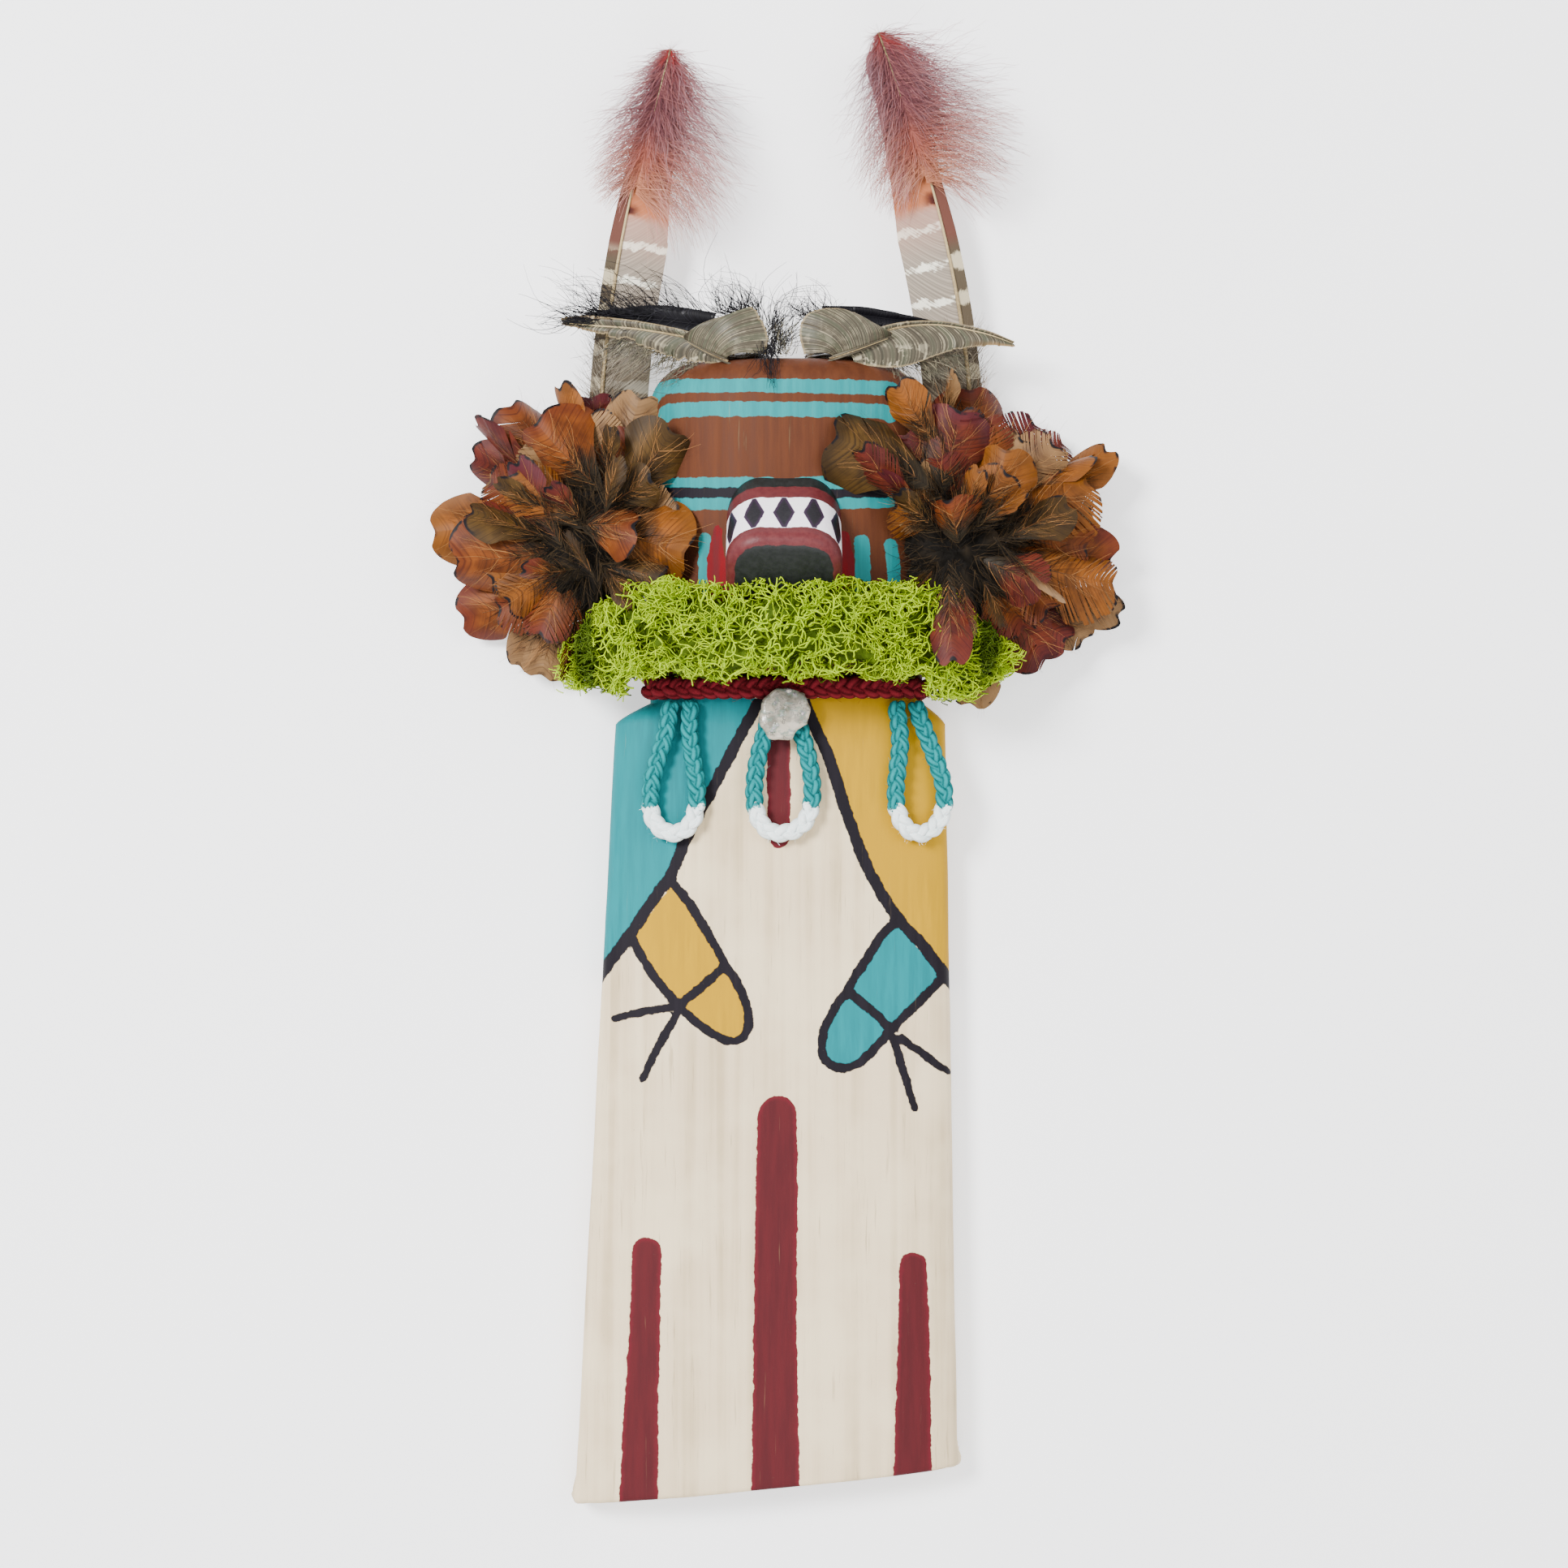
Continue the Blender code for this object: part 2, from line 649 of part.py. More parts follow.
def knot_top(side, x, z):
    """The height of a knot's surface above a place."""
    across = (x - side * RUFF_OFFSET - HEAD_SHIFT) / (KNOT_WIDTH / 2)
    deep = (z - RUFF_Z) / (KNOT_DEPTH / 2)
    return NECK_Y + RUFF_HEIGHT + KNOT_HEIGHT / 2 * math.sqrt(max(0.0, 1 - across**2 - deep**2))


def wing_line(side, share):
    """The quill of a wing feather: it leans in towards its tip and rises off the surface."""
    lean = WING_LEFT_LEAN if side < 0 else WING_RIGHT_LEAN
    length = WING_LENGTH - (WING_LEFT_SHORT if side < 0 else 0)
    x = HEAD_SHIFT + side * (WING_OFFSET - lean * share**2.1)
    low = knot_top(side, HEAD_SHIFT + side * WING_OFFSET, WING_Z) + WING_QUILL
    return Vector((x, low + length * share, WING_Z + WING_RISE * share))


def make_wing_feather(name, side, finish):
    """A barred wing feather with a round quill, a narrow outer vane and a broad inner one."""
    rings = []
    for i in range(15):
        share = i / 14
        place = wing_line(side, share)
        open_vane = min(1.0, max(0.0, share - 0.04) / 0.06)
        tip = 1 - max(0.0, (share - 0.6) / 0.4) ** 2 * 0.82
        narrow = max(WING_QUILL / 2, WING_NARROW_VANE * open_vane * tip)
        beside = abs(place.x - HEAD_SHIFT) - HEAD_WIDTH / 2 - 3 * GLUE_GAP
        above = max(0.0, place.y - HEAD_TOP_Y)
        broad = max(WING_QUILL / 2, min(WING_BROAD_VANE * tip, beside + above) * open_vane)
        thick = WING_QUILL * (1 - 0.7 * share)
        edge = WING_VANE / 2
        half_quill = WING_QUILL / 2 * (1 - 0.6 * share)
        across = Vector((side, 0, 0))
        front, back = Vector((0, 0, 1)), Vector((0, 0, -1))
        rings.append(
            [
                place + across * narrow + back * edge,
                place + across * narrow + front * edge,
                place + across * half_quill * 0.9 + front * (edge + thick * 0.2),
                place + front * (edge + thick * 0.5),
                place - across * half_quill * 0.9 + front * (edge + thick * 0.2),
                place - across * broad + front * edge,
                place - across * broad + back * edge,
                place - across * half_quill * 0.9 + back * (edge + thick * 0.2),
                place + across * half_quill * 0.9 + back * (edge + thick * 0.2),
            ]
        )
    return loft(name, rings, finish, 50)


def make_plume(name, side, finish):
    """The down plume hangs back from the wing feather's tip, in front of its vane."""
    clear = WING_VANE / 2 + WING_QUILL / 2 + PLUME_VANE / 2 + GLUE_GAP
    rings = []
    for i in range(13):
        share = i / 12
        at = 1 + 3 * MM / WING_LENGTH - share * PLUME_LENGTH / WING_LENGTH
        place = wing_line(side, at) + Vector((-side * 5 * MM * math.sin(share * 2.2), 0, clear))
        half = PLUME_WIDTH / 2 * max(0.1, math.sin(math.pi * min(0.93, share**0.8 + 0.03)))
        thick = PLUME_VANE / 2 * max(0.3, math.sin(math.pi * min(0.95, share + 0.1)))
        ring = []
        for k in range(8):
            turn = math.tau * k / 8
            ring.append(place + Vector((half * math.cos(turn), 0, thick * math.sin(turn))))
        rings.append(ring)
    return loft(name, rings, finish, 50)


def make_glue(name, side, board_room):
    """A drop of dark glue on the top of the head."""
    mesh = bmesh.new()
    shape = Matrix.Diagonal((GLUE_WIDTH / 2, GLUE_HEIGHT, GLUE_DEPTH / 2, 1))
    place = Vector((side * CREST_OFFSET + HEAD_SHIFT, HEAD_TOP_Y, CREST_Z - CREST_LAYER * 2))
    bmesh.ops.create_uvsphere(
        mesh, u_segments=14, v_segments=8, radius=1.0, matrix=Matrix.Translation(place) @ shape
    )
    drop = object_from(name, mesh, paint("glue", (0.05, 0.035, 0.02), 0.35))
    cut(drop, board_room)
    return drop


def make_crest(side, suffix, gray, dark):
    """The three crest feathers of one side, in layers from back to front."""
    front = Vector((0, 0, 1))
    low = HEAD_TOP_Y + GLUE_HEIGHT + 2 * GLUE_GAP
    # Each row: name, finish, layer, root across, root up, direction, length, width, bend, outline.
    dark_size, gray_size = (CREST_DARK_LENGTH, CREST_DARK_WIDTH), (CREST_LENGTH, CREST_WIDTH)
    cut_size = (CREST_CUT_LENGTH, CREST_CUT_WIDTH)
    layers = (
        ("crest_dark_feather_", dark, 0, 0, 5.6, 176, *dark_size, 0.1, quill_outline),
        ("crest_gray_feather_", gray, 1, 4, 3.1, 174, *gray_size, 0.22, quill_outline),
        ("crest_cut_feather_", gray, 2, 9, 3.9, 160, *cut_size, 0.16, cut_outline),
    )
    for name, finish, layer, across, up, direction, length, width, bend, outline in layers:
        turn = math.radians(direction if side < 0 else 180 - direction)
        along = Vector((math.cos(turn), math.sin(turn), 0))
        root = Vector(
            (
                HEAD_SHIFT + side * (CREST_OFFSET - across * MM),
                low + up * MM,
                CREST_Z + (layer - 1) * CREST_LAYER,
            )
        )
        mesh = bmesh.new()
        add_vane(mesh, root, along, front, length, width, CREST_VANE, bend, outline, 9)
        object_from(name + suffix, mesh, finish, 50)


def main():
    clear_scene()
    board = make_board()
    board_room = inflated(board, GLUE_GAP)
    snout = make_snout(board_room)
    neck_cord = make_neck_cord(board_room)
    make_loops()
    make_chip()
    rust = paint("ruff_feather", (0.32, 0.11, 0.03), 0.6)
    barred = paint("wing_feather", (0.45, 0.41, 0.37), 0.6)
    down = paint("down_plume", (0.55, 0.3, 0.29), 0.9)
    gray = paint("crest_feather", (0.33, 0.31, 0.26), 0.5)
    dark = paint("dark_feather", (0.02, 0.02, 0.025), 0.5)
    for side, suffix in ((-1, "left"), (1, "right")):
        make_ruff("feather_ruff_" + suffix, side, rust)
        make_wing_feather("wing_feather_" + suffix, side, barred)
        make_plume("down_plume_" + suffix, side, down)
        make_glue("crest_glue_" + suffix, side, board_room)
        make_crest(side, suffix, gray, dark)
    rooms = [board_room]
    for solid in (snout, neck_cord):
        copy = bpy.data.objects.new(solid.name + "_shape", settled(solid))
        rooms.append(inflated(copy, GLUE_GAP))
        bpy.data.objects.remove(copy)
    make_moss(rooms)


main()
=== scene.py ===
"""The dressed kachina doll: painted wood, braided cords, moss and feathers."""

import math

import bpy
import numpy as np
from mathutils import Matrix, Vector, noise


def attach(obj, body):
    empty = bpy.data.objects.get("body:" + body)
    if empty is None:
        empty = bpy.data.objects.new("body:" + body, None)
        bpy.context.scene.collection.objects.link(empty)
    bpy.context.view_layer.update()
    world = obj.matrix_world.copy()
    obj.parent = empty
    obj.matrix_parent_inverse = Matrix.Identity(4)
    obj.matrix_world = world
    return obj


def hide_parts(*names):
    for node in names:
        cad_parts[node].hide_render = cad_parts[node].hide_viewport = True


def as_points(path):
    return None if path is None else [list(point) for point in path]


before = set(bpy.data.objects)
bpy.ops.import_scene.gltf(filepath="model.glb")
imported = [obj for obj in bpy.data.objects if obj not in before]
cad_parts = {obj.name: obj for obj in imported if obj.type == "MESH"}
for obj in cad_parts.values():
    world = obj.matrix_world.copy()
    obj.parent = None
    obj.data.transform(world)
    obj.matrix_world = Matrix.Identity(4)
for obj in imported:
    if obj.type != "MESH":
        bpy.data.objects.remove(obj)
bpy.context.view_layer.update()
MM = 0.001

# The sizes of part.py that this script builds on.
BODY_LENGTH = 248 * MM
BODY_TOP_WIDTH = 102 * MM
BODY_FOOT_WIDTH = 119 * MM
FOOT_SHIFT = -4.5 * MM
FOOT_SKEW = 11.5 * MM
FOOT_SKEW_REACH = 70 * MM
FOOT_ROUND = 1.6 * MM
SHOULDER_CHAMFER = 6.5 * MM
BODY_DEPTH = 20 * MM
BODY_EDGE_DEPTH = 10 * MM
BODY_CROWN = 2.7
BACK_CHAMFER = 1.6 * MM
HEAD_WIDTH = 84.5 * MM
HEAD_SHIFT = 1.75 * MM
HEAD_LENGTH = 96 * MM
HEAD_DEPTH = 38 * MM
HEAD_EDGE_DEPTH = 14 * MM
HEAD_CORNER = 14 * MM
HEAD_CROWN = 2.0
CHIN_DEPTH = 33 * MM
CHIN_ROUND = 6 * MM
BROW_ROUND = 9 * MM
SNOUT_WIDTH = 34.5 * MM
SNOUT_HEIGHT = 28 * MM
SNOUT_LENGTH = 31.5 * MM
SNOUT_TILT = math.radians(40)
SNOUT_BROW = 58.8 * MM
SNOUT_TOP_ROUND = 11 * MM
SNOUT_CHIN_ROUND = 5 * MM
SNOUT_SHIFT = 1.0 * MM
NECK_CORD = 7 * MM
LOOP_CORD = 5.6 * MM
LOOP_LIFT = 0.9 * MM
NECK_BAND = NECK_CORD + 1.5 * MM
GLUE_GAP = 0.3 * MM
NECK_Y = BODY_LENGTH / 2
CHIN_Y = NECK_Y + NECK_BAND
HEAD_TOP_Y = CHIN_Y + HEAD_LENGTH
NECK_CORD_Y = NECK_Y + NECK_BAND / 2 + GLUE_GAP
LOOP_TOP = NECK_CORD_Y - NECK_CORD / 2 - 3 * GLUE_GAP

# The camera looks straight down on the doll. PHOTO turns its picture's pixels into places.
EYE = Vector((1 * MM, 99 * MM, 900 * MM))
FOCUS_Z = 18 * MM
PIXEL = 0.25 * MM
HALF_PICTURE = 966


def photo_places(points):
    """Where the camera sees some points, in the photograph's pixels."""
    points = np.asarray(points, float)
    near = (EYE.z - FOCUS_Z) / (EYE.z - points[:, 2]) / PIXEL
    across = HALF_PICTURE + (points[:, 0] - EYE.x) * near
    down = HALF_PICTURE - (points[:, 1] - EYE.y) * near
    return np.stack((across, down), 1)


def place_at(px, py, z):
    """The place at a height over the floor that the camera sees at a pixel."""
    near = (EYE.z - FOCUS_Z) / (EYE.z - z) / PIXEL
    return np.array((EYE.x + (px - HALF_PICTURE) / near, EYE.y + (HALF_PICTURE - py) / near, z))


# Nodes


class Nodes:
    """A short way to write a material's nodes."""

    def __init__(self, name):
        self.material = bpy.data.materials.new(name)
        self.material.use_nodes = True
        self.tree = self.material.node_tree
        self.shader = self.tree.nodes["Principled BSDF"]

    def link(self, socket, value):
        if isinstance(value, bpy.types.NodeSocket):
            self.tree.links.new(value, socket)
        elif socket.type == "RGBA":
            socket.default_value = (*(srgb(value) if isinstance(value, str) else value), 1)
        else:
            socket.default_value = value

    def add(self, kind, inputs=(), **settings):
        node = self.tree.nodes.new("ShaderNode" + kind)
        for key, value in settings.items():
            setattr(node, key, value)
        for key, value in dict(inputs).items():
            self.link(node.inputs[key], value)
        return node

    def math(self, kind, *values):
        node = self.add("Math", operation=kind)
        for socket, value in zip(node.inputs, values):
            self.link(socket, value)
        return node.outputs[0]

    def times(self, *values):
        return self.math("MULTIPLY", *values)

    def plus(self, *values):
        return self.math("ADD", *values)

    def minus(self, *values):
        return self.math("SUBTRACT", *values)

    def absolute(self, value):
        return self.math("ABSOLUTE", value)

    def swing(self, value, size):
        """A number from 0 to 1, turned into one that swings round 0."""
        return self.times(self.minus(value, 0.5), size)

    def between(self, value, low, high, start=0.0, end=1.0):
        """Maps a value smoothly from one range to another."""
        node = self.add("MapRange", interpolation_type="SMOOTHSTEP")
        for socket, entry in zip(node.inputs, (value, low, high, start, end)):
            self.link(socket, entry)
        return node.outputs[0]

    def mix(self, share, first, second, blend="MIX"):
        node = self.add("Mix", data_type="RGBA", blend_type=blend)
        self.link(node.inputs[0], share)
        self.link(node.inputs[6], first)
        self.link(node.inputs[7], second)
        return node.outputs[2]

    def parts(self, vector):
        return self.add("SeparateXYZ", {0: vector}).outputs[:3]

    def attribute(self, name):
        """The three numbers of a vector attribute."""
        return self.parts(self.add("Attribute", attribute_name=name).outputs["Vector"])

    def place(self, scale=(1, 1, 1)):
        """The object's own coordinates, stretched."""
        own = self.add("TexCoord").outputs["Object"]
        return self.add("Mapping", {"Vector": own, "Scale": scale}).outputs[0]

    def noise(self, where, scale, detail=3.0, rough=0.55):
        inputs = {"Vector": where, "Scale": scale, "Detail": detail, "Roughness": rough}
        return self.add("TexNoise", inputs).outputs[0]

    def noise_line(self, value, scale, detail=2.0):
        """Noise along a single number."""
        inputs = {"W": value, "Scale": scale, "Detail": detail}
        return self.add("TexNoise", inputs, noise_dimensions="1D").outputs[0]

    def dice(self, seed):
        """Three random numbers from one."""
        return self.parts(self.add("TexWhiteNoise", {"W": seed}, noise_dimensions="1D").outputs["Color"])

    def bump(self, height, strength, distance, under=None):
        inputs = {"Height": height, "Strength": strength, "Distance": distance}
        if under is not None:
            inputs["Normal"] = under
        return self.add("Bump", inputs).outputs[0]

    def finish(self, colour, roughness, normal=None, **plain):
        self.link(self.shader.inputs["Base Color"], colour)
        self.link(self.shader.inputs["Roughness"], roughness)
        if normal is not None:
            self.link(self.shader.inputs["Normal"], normal)
        plain.setdefault("Specular_IOR_Level", 0.12)
        for key, value in plain.items():
            self.link(self.shader.inputs[key.replace("_", " ")], value)
        return self.material


def srgb(text):
    """A colour written as six hex digits, in linear light."""
    parts = [int(text[i : i + 2], 16) / 255 for i in (0, 2, 4)]
    return tuple(c / 12.92 if c < 0.04045 else ((c + 0.055) / 1.055) ** 2.4 for c in parts)


# Meshes


class Pile:
    """Gathers pieces of mesh with their attributes, and makes one object of them."""

    def __init__(self):
        self.verts, self.faces, self.slots = [], [], []
        self.vane, self.kind, self.cell = [], [], []
        self.count = 0

    def add(self, verts, faces, vane, kind, cell, slot=0):
        verts = np.asarray(verts, float).reshape(-1, 3)
        number = len(verts)
        self.verts.append(verts)
        self.faces.append(np.asarray(faces, int).reshape(-1, 4) + self.count)
        self.slots.append(np.full(len(self.faces[-1]), slot))
        self.vane.append(np.broadcast_to(np.asarray(vane, float), (number, 3)))
        self.kind.append(np.broadcast_to(np.asarray(kind, float), (number, 3)))
        self.cell.append(np.broadcast_to(np.asarray(cell, float), (number, 2)))
        self.count += number

    def make(self, name, materials, node, slot_name):
        points = np.concatenate(self.verts)
        points[:, 2] = np.maximum(points[:, 2], 0.3 * MM)
        made = mesh_object(
            name,
            points,
            np.concatenate(self.faces),
            {"vane": np.concatenate(self.vane), "kind": np.concatenate(self.kind)},
            np.concatenate(self.cell),
            materials,
            np.concatenate(self.slots),
        )
        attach(made, "root")
        if node:
            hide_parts(*((node,) if isinstance(node, str) else node))
        return made


def mesh_object(name, verts, faces, attributes, uv, materials, slots=None):
    """An object from plain arrays. A face whose last corner repeats its third is a triangle."""
    data = bpy.data.meshes.new(name)
    three = faces[:, 2] == faces[:, 3]
    sizes = np.where(three, 3, 4)
    starts = np.concatenate(([0], np.cumsum(sizes)[:-1]))
    corners = faces.ravel()[np.stack((sizes > 0, sizes > 0, sizes > 0, sizes > 3), 1).ravel()]
    data.vertices.add(len(verts))
    data.vertices.foreach_set("co", np.ascontiguousarray(verts, np.float32).ravel())
    data.loops.add(len(corners))
    data.loops.foreach_set("vertex_index", corners.astype(np.int32))
    data.polygons.add(len(faces))
    data.polygons.foreach_set("loop_start", starts.astype(np.int32))
    for key, values in attributes.items():
        layer = data.attributes.new(key, "FLOAT_VECTOR", "POINT")
        layer.data.foreach_set("vector", np.ascontiguousarray(values, np.float32).ravel())
    if uv is not None:
        layer = data.uv_layers.new(name="OFBake")
        layer.uv.foreach_set("vector", np.ascontiguousarray(uv[corners], np.float32).ravel())
    for material in materials:
        data.materials.append(material)
    if slots is not None:
        data.polygons.foreach_set("material_index", slots.astype(np.int32))
    data.update(calc_edges=True)
    data.validate()
    data.shade_smooth()
    made = bpy.data.objects.new(name, data)
    bpy.context.scene.collection.objects.link(made)
    return made


def grid_faces(rows, columns, wrap=False):
    """The faces of a grid of points. With wrap, the last column joins the first."""
    at = np.arange(rows * columns).reshape(rows, columns)
    right = np.roll(at, -1, 1) if wrap else at[:, 1:]
    left = at if wrap else at[:, :-1]
    return np.stack((left[:-1], right[:-1], right[1:], left[1:]), -1).reshape(-1, 4)


def fan(start, columns, centre, flip=False):
    """Triangles from the ring of points that begins at start to the point at its centre."""
    sides = [(start + i, start + (i + 1) % columns) for i in range(columns)]
    return [(*(side[::-1] if flip else side), centre, centre) for side in sides]


def close_ends(points, faces, columns, first, second):
    """Closes a body with a fan over each of two rings. The second fan faces the other way."""
    centre = len(points)
    faces = np.vstack((faces, fan(first, columns, centre), fan(second, columns, centre + 1, flip=True)))
    middles = [points[start : start + columns].mean(0) for start in (first, second)]
    return np.vstack((points, middles)), faces


def unit(vectors):
    return vectors / np.maximum(np.linalg.norm(vectors, axis=-1, keepdims=True), 1e-12)


def tubes(paths, radii, sides, twist=0.0):
    """Tubes along many paths at once: points (paths, steps, sides, 3) and their faces."""
    along = unit(np.gradient(paths, axis=1))
    guide = np.where(np.abs(along[..., 2:]) < 0.8, (0.0, 0.0, 1.0), (1.0, 0.0, 0.0))
    first = unit(np.cross(along, guide))
    second = np.cross(along, first)
    turn = np.arange(sides) * math.tau / sides + twist
    circle = (
        first[:, :, None] * np.cos(turn)[:, None] + second[:, :, None] * np.sin(turn)[:, None]
    )
    points = paths[:, :, None] + circle * np.broadcast_to(radii, paths.shape[:2])[..., None, None]
    steps = paths.shape[1]
    one = grid_faces(steps, sides, wrap=True)
    faces = one[None] + (np.arange(len(paths)) * steps * sides)[:, None, None]
    return points, faces.reshape(-1, 4)


def ribbons(paths, widths, across):
    """Flat ribbons along many paths at once."""
    half = unit(across) * np.broadcast_to(widths, paths.shape[:2])[..., None] / 2
    points = np.stack((paths - half, paths + half), 2)
    steps = paths.shape[1]
    one = grid_faces(steps, 2)
    faces = one[None] + (np.arange(len(paths)) * steps * 2)[:, None, None]
    return points, faces.reshape(-1, 4)


def wander(rng, number, steps, size):
    """Smooth random offsets along many paths, zero at their start."""
    kinks = rng.normal(0, size / steps, (number, steps, 3)).cumsum(1)
    kinks -= kinks[:, :1]
    return kinks


# Painted shapes, as distances from their edges in the photograph's pixels


def line_distance(places, points, widths):
    """Distance from a brush line through some points, less than 0 on the paint."""
    points = np.asarray(points, float)
    widths = np.broadcast_to(np.asarray(widths, float), len(points))
    least = np.full(len(places), 1e9)
    for a, b, wide, wider in zip(points, points[1:], widths, widths[1:]):
        run = b - a
        share = np.clip((places - a) @ run / (run @ run), 0, 1)
        away = np.linalg.norm(places - a - share[:, None] * run, axis=1)
        least = np.minimum(least, away - (wide + (wider - wide) * share) / 2)
    return least


def area_distance(places, points):
    """Distance from the edge of an area, less than 0 inside."""
    points = np.asarray(points, float)
    least = np.full(len(places), 1e9)
    inside = np.zeros(len(places), bool)
    for a, b in zip(points, np.roll(points, -1, 0)):
        run = b - a
        share = np.clip((places - a) @ run / (run @ run), 0, 1)
        least = np.minimum(least, np.linalg.norm(places - a - share[:, None] * run, axis=1))
        crosses = (a[1] > places[:, 1]) != (b[1] > places[:, 1])
        reach = a[0] + (places[:, 1] - a[1]) / (run[1] if run[1] else 1e-9) * run[0]
        inside ^= crosses & (places[:, 0] < reach)
    return np.where(inside, -least, least)


def curve_through(points, steps=6):
    """A smooth line through some points."""
    points = np.asarray(points, float)
    padded = np.vstack((points[:1], points, points[-1:]))
    fine = []
    for a, b, c, d in zip(padded, padded[1:], padded[2:], padded[3:]):
        for t in np.arange(steps) / steps:
            fine.append(
                0.5
                * (
                    2 * b
                    + (c - a) * t
                    + (2 * a - 5 * b + 4 * c - d) * t**2
                    + (3 * b - a - 3 * c + d) * t**3
                )
            )
    fine.append(points[-1])
    return np.array(fine)


# The carved board

LEFT_ARM = ((953, 842), (940, 857), (907, 916), (874, 979), (848, 1027), (826, 1079), (807, 1105),
            (778, 1149), (752, 1184), (738, 1205))
RIGHT_ARM = ((984, 842), (1000, 887), (1022, 935), (1044, 1005), (1070, 1071), (1103, 1127),
             (1136, 1164), (1170, 1208), (1185, 1226))
LEFT_HAND = ((830, 1088), (848, 1112), (872, 1149), (892, 1186), (911, 1216), (921, 1245),
             (921, 1268), (911, 1281), (892, 1281), (863, 1264), (837, 1240), (807, 1205),
             (789, 1175), (778, 1155))
RIGHT_HAND = ((1104, 1136), (1085, 1155), (1066, 1184), (1044, 1219), (1023, 1252), (1013, 1279),
              (1015, 1304), (1029, 1315), (1051, 1314), (1074, 1296), (1099, 1268), (1136, 1231),
              (1162, 1204))
LEFT_BAND = ((837, 1238), (865, 1216), (893, 1190))
RIGHT_BAND = ((1046, 1223), (1073, 1244), (1098, 1269))
FINGERS = (((828, 1241), (792, 1247), (757, 1255)), ((835, 1247), (812, 1288), (791, 1330)),
           ((1101, 1279), (1113, 1320), (1127, 1366)), ((1110, 1279), (1138, 1299), (1167, 1320)))
LEFT_CORNERS = ((600, 1260), (600, 800))
RIGHT_CORNERS = ((1300, 800), (1300, 1300))
ARM_BRUSH, HAND_BRUSH, FINGER_BRUSH = 14.5, 11.5, (10, 11, 9)

# Brush lines as their points and widths.
BARS = ((((959, 905), (960, 980), (960, 1032)), (29, 29, 26)),
        (((958, 1374), (957, 1450), (955, 1640), (956, 1900)), (48, 52, 53, 62)),
        (((797, 1542), (795, 1620), (789, 1760), (786, 1900)), (36, 37, 44, 50)),
        (((1125, 1560), (1126, 1640), (1125, 1740), (1125, 1880)), (34, 39, 44, 51)))
BROWS = ((((804, 492), (812, 482), (835, 476), (960, 475), (1085, 478), (1100, 483), (1110, 492)), 17),
         (((820, 512), (838, 505), (960, 504), (1075, 506), (1098, 512)), 18))
CHEEK_MARKS = ((((869, 664), (868, 700), (868, 760)), 15), (((836, 660), (831, 700), (827, 760)), 15),
               (((1062, 668), (1063, 700), (1064, 760)), 19), (((1098, 672), (1101, 700), (1102, 760)), 17),
               (((806, 520), (805, 600), (806, 720)), 13), (((1134, 520), (1136, 600), (1135, 720)), 12))
EYES = ((((815, 608), (835, 608), (945, 608)), 40), (((990, 607), (1060, 607), (1096, 608)), (40, 40, 34)))
PUPILS = ((((800, 607), (930, 607)), 13), (((990, 608), (1093, 608)), (13, 9)))
LIPS = ((((884, 652), (882, 690), (884, 730)), (10, 22, 24)),
        (((1040, 660), (1043, 690), (1041, 725)), (12, 20, 22)))
BODY_LINES = (
    *((curve_through(shape), ARM_BRUSH) for shape in (LEFT_ARM, RIGHT_ARM)),
    *((curve_through(shape), HAND_BRUSH) for shape in (LEFT_HAND, RIGHT_HAND)),
    (LEFT_BAND, HAND_BRUSH),
    (RIGHT_BAND, HAND_BRUSH),
    *((shape, FINGER_BRUSH) for shape in FINGERS),
)
HEAD_BANDS = (*((curve_through(shape), width) for shape, width in BROWS), *CHEEK_MARKS, *EYES)
PAINT_FAR = 60.0
HEAD_PAINT_Y = NECK_Y + 2 * MM
BARE_BACK = 1.2 * MM

# How fine the board's rings are. Where the foot is knocked off, with the reach of each knock in mm.
FRONT_COLUMNS, WALL_COLUMNS, BACK_COLUMNS = 97, 5, 14
FOOT_KNOCKS = (((-64, -124, 6), 9), ((55, -112.5, 6), 8))
FOOT_LINE = -124.5 * MM


def body_sides(height):
    share = np.minimum(1.0, height / BODY_LENGTH)
    width = BODY_FOOT_WIDTH + (BODY_TOP_WIDTH - BODY_FOOT_WIDTH) * share
    middle = FOOT_SHIFT * (1 - share)
    return middle - width / 2, middle + width / 2


def crown(share, edge_depth, depth, power):
    inner = np.maximum(0.0, 1 - np.abs(share) ** power) ** (1 / power)
    return edge_depth + (depth - edge_depth) * inner


def body_front(x, y):
    left, right = body_sides(y + BODY_LENGTH / 2)
    share = np.clip((2 * x - left - right) / (right - left), -1, 1)
    return crown(share, BODY_EDGE_DEPTH, BODY_DEPTH, BODY_CROWN)


